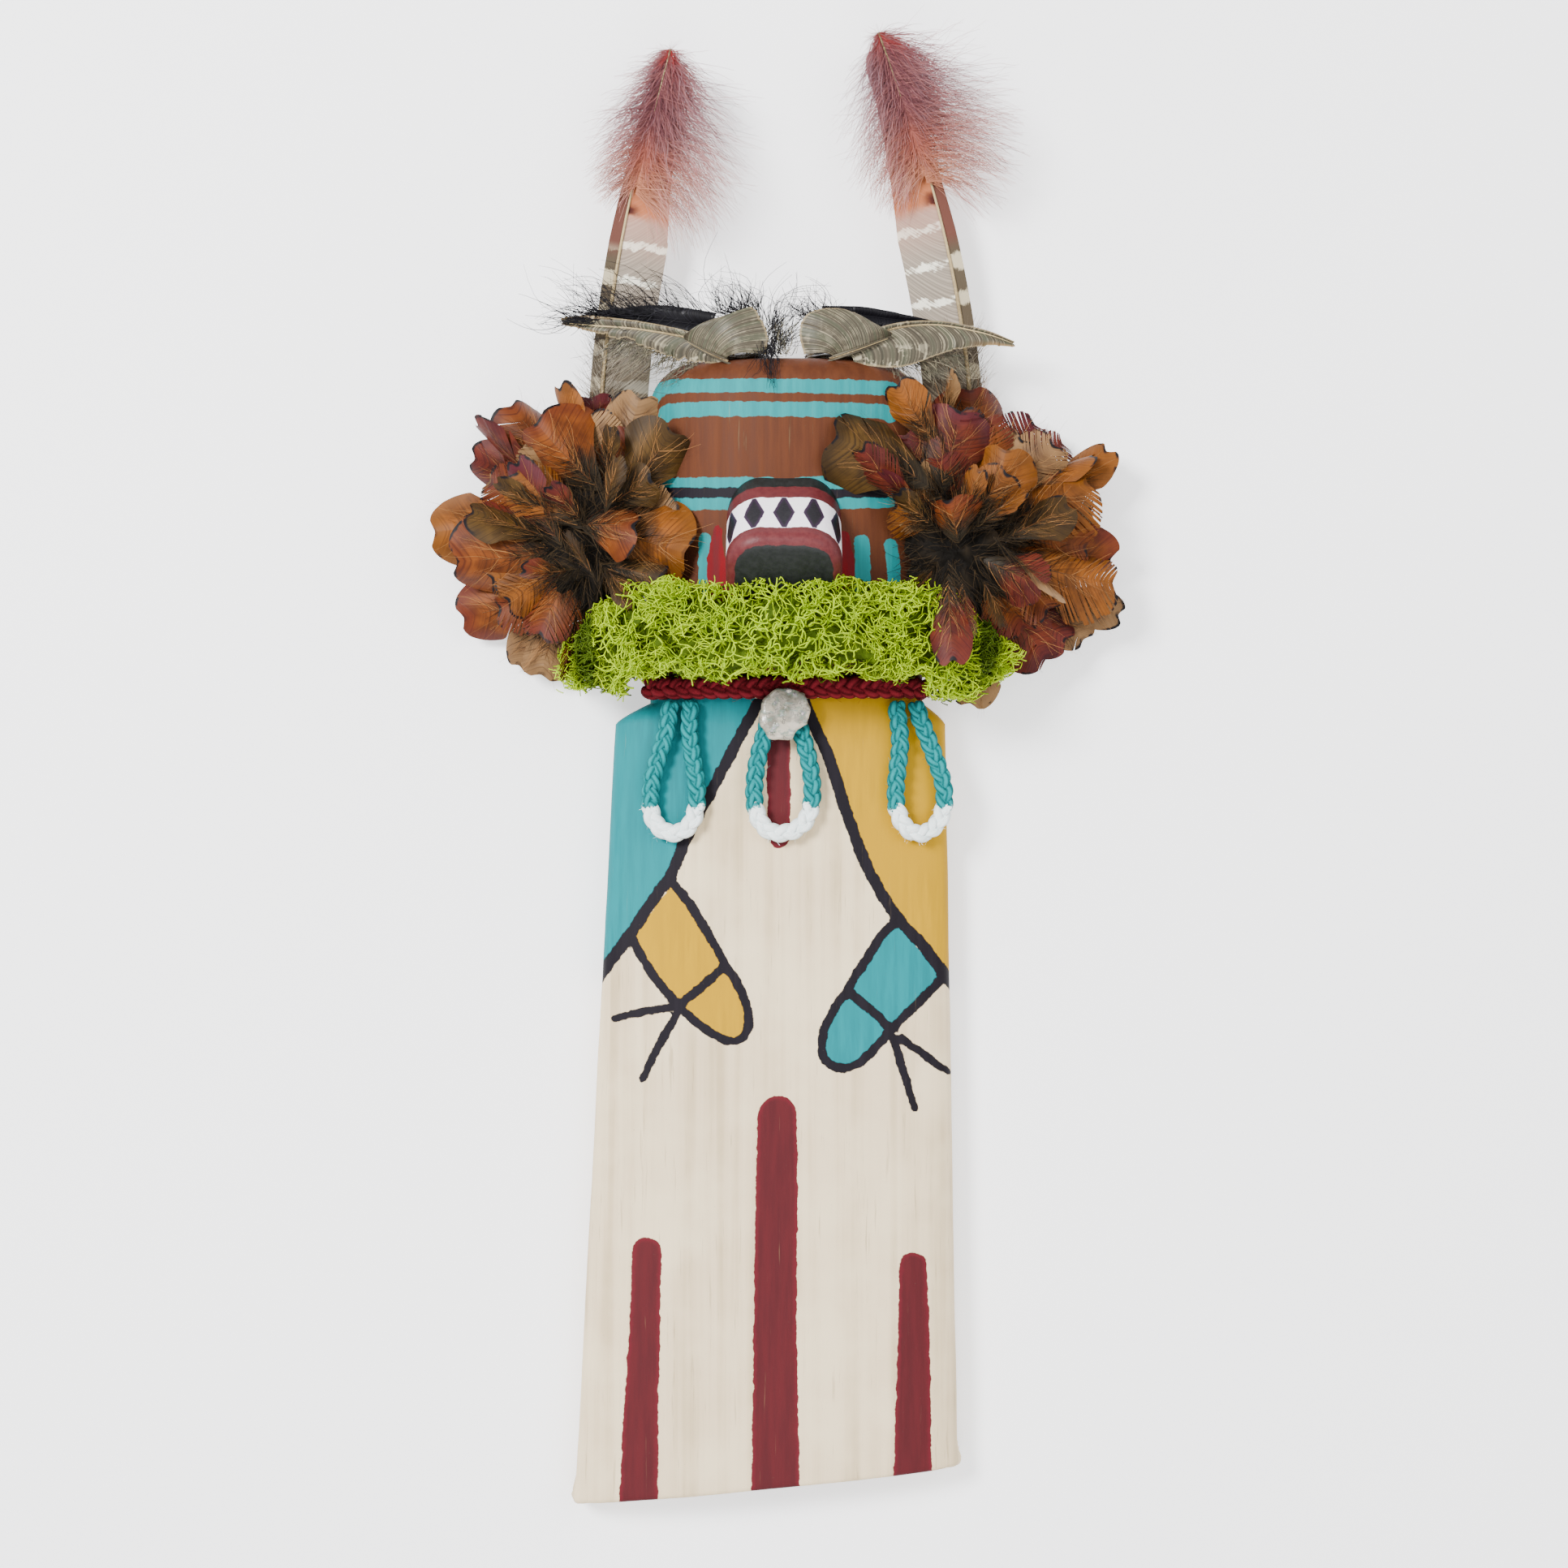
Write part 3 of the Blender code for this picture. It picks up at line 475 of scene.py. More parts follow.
def board_profile():
    """Rows of (height, left, right, edge depth, depth, crown, inset) from foot to crown."""
    rows = []
    body = (BODY_EDGE_DEPTH, BODY_DEPTH, BODY_CROWN)
    shoulder = BODY_LENGTH - SHOULDER_CHAMFER
    for turn in np.linspace(0, math.pi / 2, 6):
        height, inset = FOOT_ROUND * (1 - math.cos(turn)), FOOT_ROUND * (1 - math.sin(turn))
        rows.append((height, *body_sides(height), *body, inset))
    for height in np.linspace(FOOT_ROUND, shoulder, 210)[1:]:
        rows.append((height, *body_sides(height), *body, 0))
    head = (HEAD_SHIFT - HEAD_WIDTH / 2, HEAD_SHIFT + HEAD_WIDTH / 2)
    last = body_sides(shoulder)
    for share in np.linspace(0, 1, 8)[1:]:
        sides = [a + (b - a) * share**1.3 for a, b in zip(last, head)]
        height = shoulder + SHOULDER_CHAMFER * share
        rows.append((height, *sides, *body, 0))
    chin = BODY_LENGTH + NECK_BAND
    for height in np.linspace(BODY_LENGTH, chin, 8)[1:]:
        rows.append((height, *head, *body, 0))
    start = CHIN_DEPTH - 3 * MM
    for turn in np.linspace(0, math.pi / 2, 8):
        height = chin + CHIN_ROUND / 6 + CHIN_ROUND * 5 / 6 * (1 - math.cos(turn))
        depth = start + (HEAD_DEPTH - start) * math.sin(turn)
        rows.append((height, *head, HEAD_EDGE_DEPTH, depth, HEAD_CROWN, 0))
    corner = chin + HEAD_LENGTH - HEAD_CORNER
    for height in np.linspace(chin + CHIN_ROUND, corner, 72)[1:]:
        rows.append((height, *head, HEAD_EDGE_DEPTH, HEAD_DEPTH, HEAD_CROWN, 0))
    for turn in np.linspace(0, math.pi / 2, 17)[1:]:
        height = corner + HEAD_CORNER * math.sin(turn)
        narrow = HEAD_CORNER * (1 - math.cos(turn))
        past = max(0.0, height - (corner + HEAD_CORNER - BROW_ROUND))
        depth = HEAD_DEPTH - BROW_ROUND + math.sqrt(max(0.0, BROW_ROUND**2 - past**2))
        sides = (head[0] + narrow, head[1] - narrow)
        rows.append((height, *sides, HEAD_EDGE_DEPTH, depth, HEAD_CROWN, 0))
    return rows


def board_points():
    """The board's rings, with the unevenness of a knife and the wear of its edges."""
    even = np.linspace(-1, 1, FRONT_COLUMNS)
    shares = 0.62 * even + 0.38 * np.sin(even * math.pi / 2)
    shares = np.concatenate(([-1, -0.9995, -0.998], shares[1:-1], [0.998, 0.9995, 1]))
    rings = []
    for height, left, right, edge, depth, power, inset in board_profile():
        left, right = left + inset, right - inset
        middle, half = (left + right) / 2, (right - left) / 2
        front = crown(shares, edge, depth, power) - inset
        wall = np.linspace(BACK_CHAMFER + inset, edge - inset, WALL_COLUMNS + 1)[:-1]
        back = np.linspace(left + BACK_CHAMFER, right - BACK_CHAMFER, BACK_COLUMNS)
        low_side, high_side = np.full(WALL_COLUMNS, left), np.full(WALL_COLUMNS, right)
        xs = np.concatenate((low_side, middle + half * shares, high_side, back[::-1]))
        zs = np.concatenate((wall, front, wall[::-1], np.full(BACK_COLUMNS, inset)))
        ys = np.full(len(xs), height - BODY_LENGTH / 2)
        low = body_sides(0)
        fade = max(0.0, 1 - height / FOOT_SKEW_REACH)
        ys = ys + FOOT_SKEW * (xs - low[0]) / (low[1] - low[0]) * fade
        rings.append(np.stack((xs, ys, zs), 1))
    return np.array(rings)


def wear(points, normals):
    """Pushes points in where the knife dipped or a foot corner was knocked."""
    pushed = points.copy()
    for i, (point, normal) in enumerate(zip(points, normals)):
        where = Vector(point)
        dip = noise.noise(where * 45) * 0.16 + noise.noise(where * 160) * 0.05
        if point[2] < 1 * MM:
            dip = 0.0
        for corner, reach in FOOT_KNOCKS:
            near = max(0.0, 1 - np.linalg.norm(point - np.array(corner) * MM) / (reach * MM))
            dip += near * (1.1 + 1.4 * abs(noise.noise(where * 420)))
        edge = max(0.0, 1 - (point[1] - FOOT_LINE) / (2.5 * MM)) if point[0] < 50 * MM else 0.0
        dip += edge * 0.4 * max(0.0, noise.noise(where * 230))
        pushed[i] -= normal * max(-0.12, dip) * MM
    return pushed


def ring_normals(grid):
    along = np.gradient(grid, axis=0)
    across = np.roll(grid, -1, 1) - np.roll(grid, 1, 1)
    return unit(np.cross(along, across))


def strokes(seen, shapes):
    """Distance from the nearest of some brush lines."""
    return np.minimum.reduce([line_distance(seen, points, widths) for points, widths in shapes])


def paint_layers(points):
    """The painted shapes of body and head as two attributes of three numbers."""
    seen = photo_places(points)
    head = points[:, 1] > HEAD_PAINT_Y
    turquoise = np.minimum(area_distance(seen, (*curve_through(LEFT_ARM), *LEFT_CORNERS)),
                           area_distance(seen, curve_through(RIGHT_HAND)))
    yellow = np.minimum(area_distance(seen, (*RIGHT_CORNERS, *curve_through(RIGHT_ARM)[::-1])),
                        area_distance(seen, curve_through(LEFT_HAND)))
    first = np.where(head, strokes(seen, PUPILS), strokes(seen, BODY_LINES))
    second = np.where(head, strokes(seen, HEAD_BANDS), turquoise)
    third = np.where(head, strokes(seen, LIPS), strokes(seen, BARS))
    fourth = np.where(head, PAINT_FAR, yellow)
    front = np.clip((points[:, 2] - BARE_BACK) / (1 * MM), 0, 1)
    return (
        np.clip(np.stack((first, second, third), 1), -PAINT_FAR, PAINT_FAR),
        np.stack((np.clip(fourth, -PAINT_FAR, PAINT_FAR), front, np.where(head, 1.0, 0.0)), 1),
    )


def wood_paint():
    """Cream, turquoise, yellow, maroon and black paint over grain, and a bare back."""
    n = Nodes("painted_wood_finish")
    black, turquoise, maroon = n.attribute("paint")
    yellow, front, head = n.attribute("zone")
    own = n.place()
    grain = n.noise(n.place((1, 0.045, 1)), 900, 4, 0.6)
    streak = n.noise(n.place((1, 0.02, 1)), 240, 3, 0.5)
    brush = n.noise(n.place((1, 0.1, 1)), 420, 3, 0.6)
    patch = n.noise(own, 38, 3, 0.55)
    speck = n.noise(own, 1500, 2, 0.5)
    wobble = n.swing(n.noise(own, 330, 3, 0.6), 6.5)

    def painted(distance, soft=0.6):
        return n.between(n.plus(distance, wobble), soft, -soft)

    cream = n.mix(n.between(streak, 0.35, 0.75), "dcc7a4", "bea986")
    cream = n.mix(n.between(patch, 0.35, 0.75, 0.0, 0.6), cream, "ecd9b4")
    pore = n.between(grain, 0.6, 0.74)
    cream = n.mix(n.times(pore, 0.4), cream, "7c6a50")
    aqua = n.mix(n.between(brush, 0.3, 0.7), "026a70", "03787e")
    aqua = n.mix(n.between(patch, 0.4, 0.75), aqua, "027277")
    aqua_head = n.mix(n.between(brush, 0.3, 0.7), "107376", "1b8082")
    aqua = n.mix(head, aqua, aqua_head)
    sun = n.mix(n.between(brush, 0.3, 0.7), "a57d01", "b58a02")
    sun = n.mix(n.between(patch, 0.3, 0.7), sun, "ad8301")
    wine = n.mix(n.between(brush, 0.3, 0.7), "46161b", "4f191e")
    rim = n.between(n.plus(maroon, wobble), -6.5, -1.5)
    wine = n.mix(n.times(rim, 0.75), wine, "5e1621")
    scarlet = n.mix(n.between(brush, 0.3, 0.7), "57050e", "71010d")
    wine = n.mix(head, wine, scarlet)
    ink = n.mix(n.between(brush, 0.35, 0.75), "120e15", "1a161d")
    brown = n.mix(n.between(brush, 0.25, 0.75), "482515", "552e1a")
    brown = n.mix(n.between(streak, 0.45, 0.8, 0.0, 0.5), brown, "41200f")
    brown = n.mix(n.times(pore, 0.5), brown, "33180e")
    # The brown darkens towards the chin, under the snout and above the moss collar: painted shade.
    low = n.between(n.parts(own)[1], 0.182, 0.150)
    brown = n.mix(n.times(low, 0.6), brown, "371a10")
    ground = n.mix(head, cream, brown)
    colour = n.mix(painted(turquoise), ground, aqua)
    colour = n.mix(painted(yellow), colour, sun)
    colour = n.mix(painted(maroon), colour, wine)
    colour = n.mix(painted(black), colour, ink)
    thin = n.times(n.between(grain, 0.64, 0.8), 0.16)
    colour = n.mix(thin, colour, "baa073")
    scuff = n.times(n.between(speck, 0.72, 0.8), 0.35)
    colour = n.mix(scuff, colour, "4c4237")
    bare = n.mix(n.between(streak, 0.3, 0.7), "906c3d", "6f5331")
    bare = n.mix(n.times(pore, 0.6), bare, "4e3a25")
    colour = n.mix(front, bare, colour)
    height = n.plus(n.times(grain, -0.6), n.times(brush, 0.35))
    normal = n.bump(height, 0.3, 0.3 * MM)
    rough = n.between(brush, 0.2, 0.8, 0.55, 0.7)
    return n.finish(colour, rough, normal)


def make_board():
    grid = board_points()
    rows, columns = grid.shape[:2]
    points = wear(grid.reshape(-1, 3), ring_normals(grid).reshape(-1, 3))
    faces = grid_faces(rows, columns, wrap=True)[:, ::-1]
    points, faces = close_ends(points, faces, columns, 0, (rows - 1) * columns)
    paint, zone = paint_layers(points)
    made = mesh_object(
        "painted_board", points, faces, {"paint": paint, "zone": zone}, None, [wood_paint()]
    )
    made.data.set_sharp_from_angle(angle=math.radians(50))
    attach(made, "root")
    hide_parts("carved_board")


# The snout


# Where the snout's bands change and how its diamonds lie, in mm along and round it.
WINE_START, WHITE_START, WHITE_END, WINE_END = 4.4, 10.2, 25.6, 32.4
DIAMOND_PITCH, DIAMOND_HALF, DIAMOND_MIDDLE, DIAMOND_REACH = 9.0, 3.35, 17.9, 9.6
SNOUT_NOSE = 4.2 * MM
SNOUT_ROOT = -14 * MM


def snout_paint():
    """Maroon, white with dark diamonds, maroon, and a black nose."""
    n = Nodes("snout_finish")
    along, around, face = n.attribute("paint")
    own = n.place()
    wobble = n.swing(n.noise(own, 380, 3, 0.6), 1.5)
    brush = n.noise(own, 620, 3, 0.6)
    step = n.plus(along, wobble)

    def band(low, high, soft=0.12):
        return n.times(
            n.between(step, low - soft, low + soft), n.between(step, high + soft, high - soft)
        )

    soot = n.mix(n.between(brush, 0.3, 0.75), "141716", "1e2020")
    wine = n.mix(n.between(brush, 0.3, 0.7), "501a1f", "5b2426")
    white = n.mix(n.between(brush, 0.3, 0.75), "f3e9f3", "f3f3f3")
    colour = n.mix(band(WINE_START, WHITE_START), soot, wine)
    colour = n.mix(band(WHITE_END, WINE_END), colour, wine)
    colour = n.mix(band(WHITE_START, WHITE_END), colour, white)
    turn = n.plus(around, n.times(wobble, 0.35))
    unit_step = n.minus(n.math("FRACT", n.plus(n.math("DIVIDE", turn, DIAMOND_PITCH), 0.5)), 0.5)
    wide = n.math("DIVIDE", n.absolute(unit_step), DIAMOND_HALF / DIAMOND_PITCH)
    tall = n.math("DIVIDE", n.absolute(n.minus(step, DIAMOND_MIDDLE)), DIAMOND_REACH)
    diamond = n.between(n.plus(wide, tall), 1.02, 0.96)
    ink = n.mix(n.between(n.plus(wide, tall), 0.55, 0.98), "151319", "301b35")
    colour = n.mix(n.times(diamond, band(10.3, 25.4)), colour, ink)
    colour = n.mix(n.between(n.plus(face, wobble), 0.3, 0.6), colour, soot)
    height = n.plus(brush, n.times(n.noise(own, 1800, 2), 0.4))
    rough = n.between(brush, 0.2, 0.8, 0.4, 0.55)
    return n.finish(colour, rough, n.bump(height, 0.3, 0.25 * MM), Specular_IOR_Level=0.25)


def make_snout():
    """Rounded block from cross-sections, with its own coordinates for the painted bands."""
    forward = np.array((0, -math.sin(SNOUT_TILT), math.cos(SNOUT_TILT)))
    up = np.array((0, math.cos(SNOUT_TILT), math.sin(SNOUT_TILT)))
    top = np.array((SNOUT_SHIFT, CHIN_Y + SNOUT_BROW - GLUE_GAP, HEAD_DEPTH))
    stations = [(along, 0.0) for along in np.linspace(SNOUT_ROOT, SNOUT_LENGTH - SNOUT_NOSE, 48)]
    for turn in np.linspace(0, math.pi / 2, 11)[1:]:
        back, inset = SNOUT_NOSE * (1 - math.sin(turn)), SNOUT_NOSE * (1 - math.cos(turn))
        stations.append((SNOUT_LENGTH - back, inset))
    for extra in (6, 8, 10, 12, 13.2):
        stations.append((SNOUT_LENGTH + 0.25 * MM * math.sin((extra - 4.2) / 9 * 1.57), extra * MM))
    rings, paint = [], []
    for along, inset in stations:
        shrink = 1 - inset / (SNOUT_HEIGHT / 2)
        half_w = SNOUT_WIDTH / 2 - inset
        half_h = SNOUT_HEIGHT / 2 * shrink
        ring = []
        corners = ((1, 1, SNOUT_TOP_ROUND, 12), (-1, 1, SNOUT_TOP_ROUND, 12),
                   (-1, -1, SNOUT_CHIN_ROUND, 8), (1, -1, SNOUT_CHIN_ROUND, 8))
        for number, (side, level, radius, steps) in enumerate(corners):
            radius = min(radius, half_w * 0.98, half_h * 0.98) if inset > 4.3 * MM else radius - inset
            for i in range(steps + 1):
                turn = math.pi / 2 * (number + i / steps)
                ring.append((side * (half_w - radius) + radius * math.cos(turn),
                             level * (half_h - radius) + radius * math.sin(turn)))
        filled = []
        for a, b in zip(ring, ring[1:] + ring[:1]):
            parts = max(1, round(math.dist(a, b) / (0.9 * MM))) if inset < 1e-6 else None
            filled.append((a, b, parts))
        if not rings:
            pattern = [parts for _, _, parts in filled]
        points = []
        for (a, b, _), parts in zip(filled, pattern):
            for k in range(parts):
                points.append((a[0] + (b[0] - a[0]) * k / parts, a[1] + (b[1] - a[1]) * k / parts))
        if not rings:
            plan = np.array(points)
            steps = np.linalg.norm(np.roll(plan, -1, 0) - plan, axis=1)
            length = np.concatenate(([0], np.cumsum(steps)[:-1]))
            middle = np.interp(0.0, plan[:40, 0][::-1], length[:40][::-1])
            round_trip = steps.sum()
            around = (length - middle + round_trip / 2) % round_trip - round_trip / 2
        for x, h in points:
            dip = 0.16 * MM * noise.noise(Vector((x, h, along)) * 110)
            place = top + forward * (along + dip) - up * (SNOUT_HEIGHT / 2 - h * (1 + dip * 8))
            rings.append(place + np.array((x * (1 + dip * 8), 0, 0)))
        marks = np.stack((np.full(len(points), along / MM), -around / MM,
                          np.full(len(points), max(0.0, inset / MM - 2.2))), 1)
        paint.append(marks)
    columns = len(plan)
    faces = grid_faces(len(stations), columns, wrap=True)
    points, faces = close_ends(np.array(rings), faces, columns, (len(stations) - 1) * columns, 0)
    paint = np.vstack((*paint, (SNOUT_LENGTH / MM, 0, 12), (SNOUT_ROOT / MM, 0, 0)))
    made = mesh_object("painted_snout", points, faces, {"paint": paint}, None, [snout_paint()])
    made.data.set_sharp_from_angle(angle=math.radians(60))
    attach(made, "root")
    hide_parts("snout")


# Braided cords


def yarn_paint(name, dark, light, tip=None):
    """Yarn: fine twisted fibres of uneven tone, with painted shade in the grooves of the twist. The tip is
    dipped in white paint.
    """
    n = Nodes(name)
    along, around, white = n.attribute("vane")
    twist = n.plus(n.times(along, 900.0), n.times(around, 2.0))
    ply = n.absolute(n.math("SINE", twist))
    own = n.place()
    fuzz = n.noise(own, 2600, 3, 0.65)
    # The twist darkens the colour in its grooves as painted shade; the fuzz is the fibres' own uneven tone.
    share = n.plus(n.times(ply, 0.55), n.times(fuzz, 0.5))
    colour = n.mix(n.between(share, 0.25, 0.85), dark, light)
    if tip:
        spill = n.swing(n.noise(own, 520, 3, 0.65), 5.5)
        dipped = n.between(n.plus(white, spill), -0.35, 0.35)
        colour = n.mix(dipped, colour, n.mix(n.between(fuzz, 0.3, 0.7), "e1f3f3", "f3f3f3"))
    normal = n.bump(share, 0.75, 0.4 * MM)
    return n.finish(colour, 0.88, normal)


STRAND_SIDES = 10
STRAND_STEP = 0.42 * MM
FIBRE_STEP = 0.28 * MM


def braid(points, diameter, pitch, rng, white_from=None):
    """Three strands in a flat braid along a path, with loose fibres. Returns the pile and the path."""
    lengths = np.concatenate(([0], np.cumsum(np.linalg.norm(np.diff(points, axis=0), axis=1))))
    total = lengths[-1]
    steps = int(total / STRAND_STEP)
    at = np.linspace(0, total, steps)
    path = np.stack([np.interp(at, lengths, points[:, k]) for k in range(3)], 1)
    along = unit(np.gradient(path, axis=0))
    up = unit(np.array((0.0, 0.0, 1.0)) - along * along[:, 2:])
    side = np.cross(along, up)
    strand = diameter * 0.235
    pile = Pile()
    centres = []
    for k in range(3):
        phase = math.tau * (at / pitch + k / 3)
        centre = path + side * (np.sin(phase) * (diameter / 2 - strand))[:, None]
        centre = centre + up * (np.sin(2 * phase) * strand * 0.62)[:, None]
        centres.append(centre)
        radius = strand * (1.06 + 0.07 * np.sin(at / (1.7 * MM) + k * 2))
        radius[:2] *= (0.5, 0.85)
        radius[-2:] *= (0.85, 0.5)
        tube, faces = tubes(centre[None], radius[None], STRAND_SIDES)
        low = path[:, 1] - white_from if white_from is not None else np.full(steps, 1.0)
        marks = np.zeros((steps, STRAND_SIDES, 3))
        marks[..., 0] = at[:, None] + k * 0.01
        marks[..., 1] = np.arange(STRAND_SIDES) * math.tau / STRAND_SIDES
        marks[..., 2] = (-low / MM)[:, None]
        round_strand = np.abs(2 * np.arange(STRAND_SIDES) / STRAND_SIDES - 1)
        cell = np.stack(np.broadcast_arrays(at[:, None] / total, (k + round_strand) / 3), -1)
        pile.add(tube, faces, marks.reshape(-1, 3), (k, 0, 0), cell.reshape(-1, 2))
        for end in (0, -1):
            cap = fan(0, STRAND_SIDES, STRAND_SIDES, flip=end == 0)
            pile.add(np.vstack((tube[0, end], centre[end])), cap, marks[end, 0], (k, 0, 0), (0, 0))
    count = int(total / FIBRE_STEP)
    which = rng.integers(0, 3, count)
    where = rng.integers(2, steps - 2, count)
    origin = np.array([centres[a][b] for a, b in zip(which, where)])
    turn = rng.uniform(0, math.tau, count)[:, None]
    out = side[where] * np.cos(turn) + up[where] * np.sin(turn)
    lean = along[where] * rng.normal(0, 1.0, count)[:, None]
    span = np.linspace(0, 1, 4)[None, :, None]
    length = rng.uniform(0.5, 1.5, count)[:, None, None] * MM
    hair = origin[:, None] + out[:, None] * strand * 0.9 + (out + lean)[:, None] * length * span
    hair = hair + wander(rng, count, 4, 0.5 * MM)
    flat, faces = ribbons(hair, 0.09 * MM, np.cross(np.gradient(hair, axis=1), out[:, None] + 0.3))
    low = origin[:, 1] - white_from if white_from is not None else np.full(count, 1.0)
    marks = np.zeros((count, 8, 3))
    marks[..., 0] = at[where][:, None]
    marks[..., 2] = (-low / MM)[:, None]
    pile.add(flat, faces, marks.reshape(-1, 3), (0, 0, 1), (0.5, 0.5))
    return pile, path


LEFT_LOOP = (
    (-3.2, 0), (-3.6, 4), (-4.4, 9), (-5.9, 14), (-7.6, 19), (-8.9, 24), (-9.5, 29), (-9.3, 33.5),
    (-7.6, 37.6), (-4.4, 39.9), (-0.8, 40.1), (2.6, 37.9), (4.4, 34), (4.9, 29), (4.6, 24),
    (3.9, 19), (3.1, 14), (2.6, 9), (2.8, 4), (2.9, 0),
)
MIDDLE_LOOP = (
    (-3.1, 0), (-3.6, 4), (-5.0, 9), (-6.5, 14), (-7.7, 19), (-8.4, 24), (-8.6, 29), (-8.0, 33.5),
    (-6.2, 37.6), (-3.2, 39.9), (0.6, 40.2), (4.3, 39.0), (7.3, 36.2), (8.8, 32), (9.2, 27),
    (8.8, 22), (7.9, 17), (6.6, 12), (5.0, 7), (3.6, 3), (3.1, 0),
)
RIGHT_LOOP = (
    (-3.4, 0), (-2.9, 4), (-2.3, 9), (-2.2, 14), (-2.8, 19), (-3.4, 24), (-3.6, 29), (-3.1, 33.5),
    (-1.0, 38.0), (2.4, 40.3), (6.0, 40.0), (9.4, 37.2), (11.2, 33), (11.5, 28), (10.6, 23),
    (8.9, 18), (7.0, 13), (5.1, 8), (3.6, 4), (2.9, 0),
)
LOOP_PITCH = 12.6 * MM
LOOP_DIP = 8.2 * MM
NECK_PITCH = 11.5 * MM
LOOP_PLACES = (
    ("cord_loop_left", LEFT_LOOP, -30.6 * MM),
    ("cord_loop_middle", MIDDLE_LOOP, 0.4 * MM),
    ("cord_loop_right", RIGHT_LOOP, 38.8 * MM),
)


def loop_route(places, middle):
    points = []
    for across, drop in places:
        x, y = middle + across * MM, LOOP_TOP - drop * MM
        inner = max(-BODY_TOP_WIDTH * 0.47, min(BODY_TOP_WIDTH * 0.47, x))
        points.append((x, y, float(body_front(inner, y)) + LOOP_CORD / 2 + LOOP_LIFT))
    return curve_through(points, 12)


def make_loops(rng):
    finish = yarn_paint("turquoise_yarn", "055455", "188589", tip=True)
    for name, places, middle in LOOP_PLACES:
        route = loop_route(places, middle)
        lowest = route[:, 1].min()
        pile, path = braid(route, LOOP_CORD, LOOP_PITCH, rng, lowest + LOOP_DIP)
        made = pile.make(name.replace("cord_loop", "braided_loop"), [finish], name, "turquoise_cord")
        total = float(np.linalg.norm(np.diff(path, axis=0), axis=1).sum())
        tuple(path[0])
        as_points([tuple(place) for place in path[::6]] + [tuple(path[-1])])


def make_neck_cord(rng):
    finish = yarn_paint("maroon_yarn", "47080f", "7c1e28")
    half = HEAD_WIDTH / 2
    points = []
    for i in range(17):
        share = i / 8 - 1
        x = HEAD_SHIFT + share * (half + 1.2 * MM)
        flat = max(-1.0, min(1.0, share * 0.985))
        z = float(crown(flat, BODY_EDGE_DEPTH, BODY_DEPTH, BODY_CROWN)) + NECK_CORD / 2 + GLUE_GAP
        droop = 0.8 * MM * max(0.0, share - 0.9) / 0.1
        points.append((x, NECK_CORD_Y - droop, z))
    pile, _ = braid(curve_through(points, 12), NECK_CORD, NECK_PITCH, rng)
    pile.make("braided_neck_cord", [finish], "neck_cord", "red_cord")


# The shell chip


CHIP_OUTLINE = ((-6.6, 4.6), (-2.6, 7.9), (1.6, 8.0), (6.2, 6.3), (8.1, 1.6), (7.0, -3.0),
                (3.8, -5.0), (2.2, -8.0), (-4.6, -7.7), (-8.0, -2.2), (-6.6, 4.6))


def make_chip():
    """The flat chip of abalone, layered and chipped round its edge."""
    n = Nodes("abalone_finish")
    own = n.place()
    stretched = n.add("Mapping", {"Vector": own, "Scale": (1, 1.7, 1)}).outputs[0]
    swirl = n.noise(stretched, 330, 4, 0.6)
    tone = n.noise(own, 170, 3, 0.6)
    colour = n.mix(n.between(tone, 0.36, 0.62), "6a665a", "b0a695")
    colour = n.mix(n.between(swirl, 0.5, 0.62, 0.0, 0.8), colour, "5f7d6c")
    colour = n.mix(n.between(swirl, 0.58, 0.66, 0.0, 0.8), colour, "8b7086")
    colour = n.mix(n.between(swirl, 0.64, 0.72), colour, "f3ecd8")
    crack = n.between(n.absolute(n.minus(tone, 0.5)), 0.014, 0.0)
    colour = n.mix(n.times(crack, 0.7), colour, "37332e")
    normal = n.bump(n.plus(swirl, n.times(tone, 0.8)), 0.6, 0.8 * MM)
    finish = n.finish(
        colour, 0.26, normal, Coat_Weight=0.6, Coat_Roughness=0.15, Specular_IOR_Level=0.65
    )
    middle = np.array((1.1 * MM, LOOP_TOP - 8 * MM + 4.1 * MM, 0))
    behind = BODY_DEPTH + max(NECK_CORD, LOOP_CORD + LOOP_LIFT) + 2 * GLUE_GAP
    outline = np.array(CHIP_OUTLINE)
    twelfths = np.linspace(0, 1, 12, endpoint=False)[:, None]
    fine = np.vstack([a + (b - a) * twelfths for a, b in zip(outline, outline[1:])])
    sides = len(fine)
    radius = np.linalg.norm(fine, axis=1)
    turn = np.arctan2(fine[:, 1], fine[:, 0])
    nick = np.array([noise.noise(Vector((math.cos(t) * 7, math.sin(t) * 7, 3))) for t in turn])
    radius = radius * (1 + 0.025 * nick)
    levels = [(0.0, 0.92), (0.12, 0.98), (0.35, 1.0), (0.55, 0.985), (0.72, 0.93)]
    levels += [(0.8 + 0.16 * s, 0.87 - 0.86 * s) for s in np.linspace(0.02, 0.98, 18)]
    rings = []
    for level, size in levels:
        x, y = size * radius * np.cos(turn) * MM, size * radius * np.sin(turn) * MM
        ruffle = np.array([noise.noise(Vector((a, b, 0)) * 300) for a, b in zip(x, y)])
        step = np.array([noise.noise(Vector((a, b, 0)) * 120 + Vector((4, 0, 0))) for a, b in zip(x, y)])
        z = behind + (level * 2.2 + (ruffle * 0.45 + step * 0.9) * min(1, level)) * MM
        rings.append(np.stack((x, y, np.broadcast_to(z, x.shape)), 1) + middle)
    points = np.array(rings).reshape(-1, 3)
    faces = grid_faces(len(levels), sides, wrap=True)
    points, faces = close_ends(points, faces, sides, (len(levels) - 1) * sides, 0)
    made = mesh_object("abalone_chip", points, faces, {}, None, [finish])
    made.data.set_sharp_from_angle(angle=math.radians(40))
    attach(made, "root")
    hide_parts("shell_chip")


# The moss collar

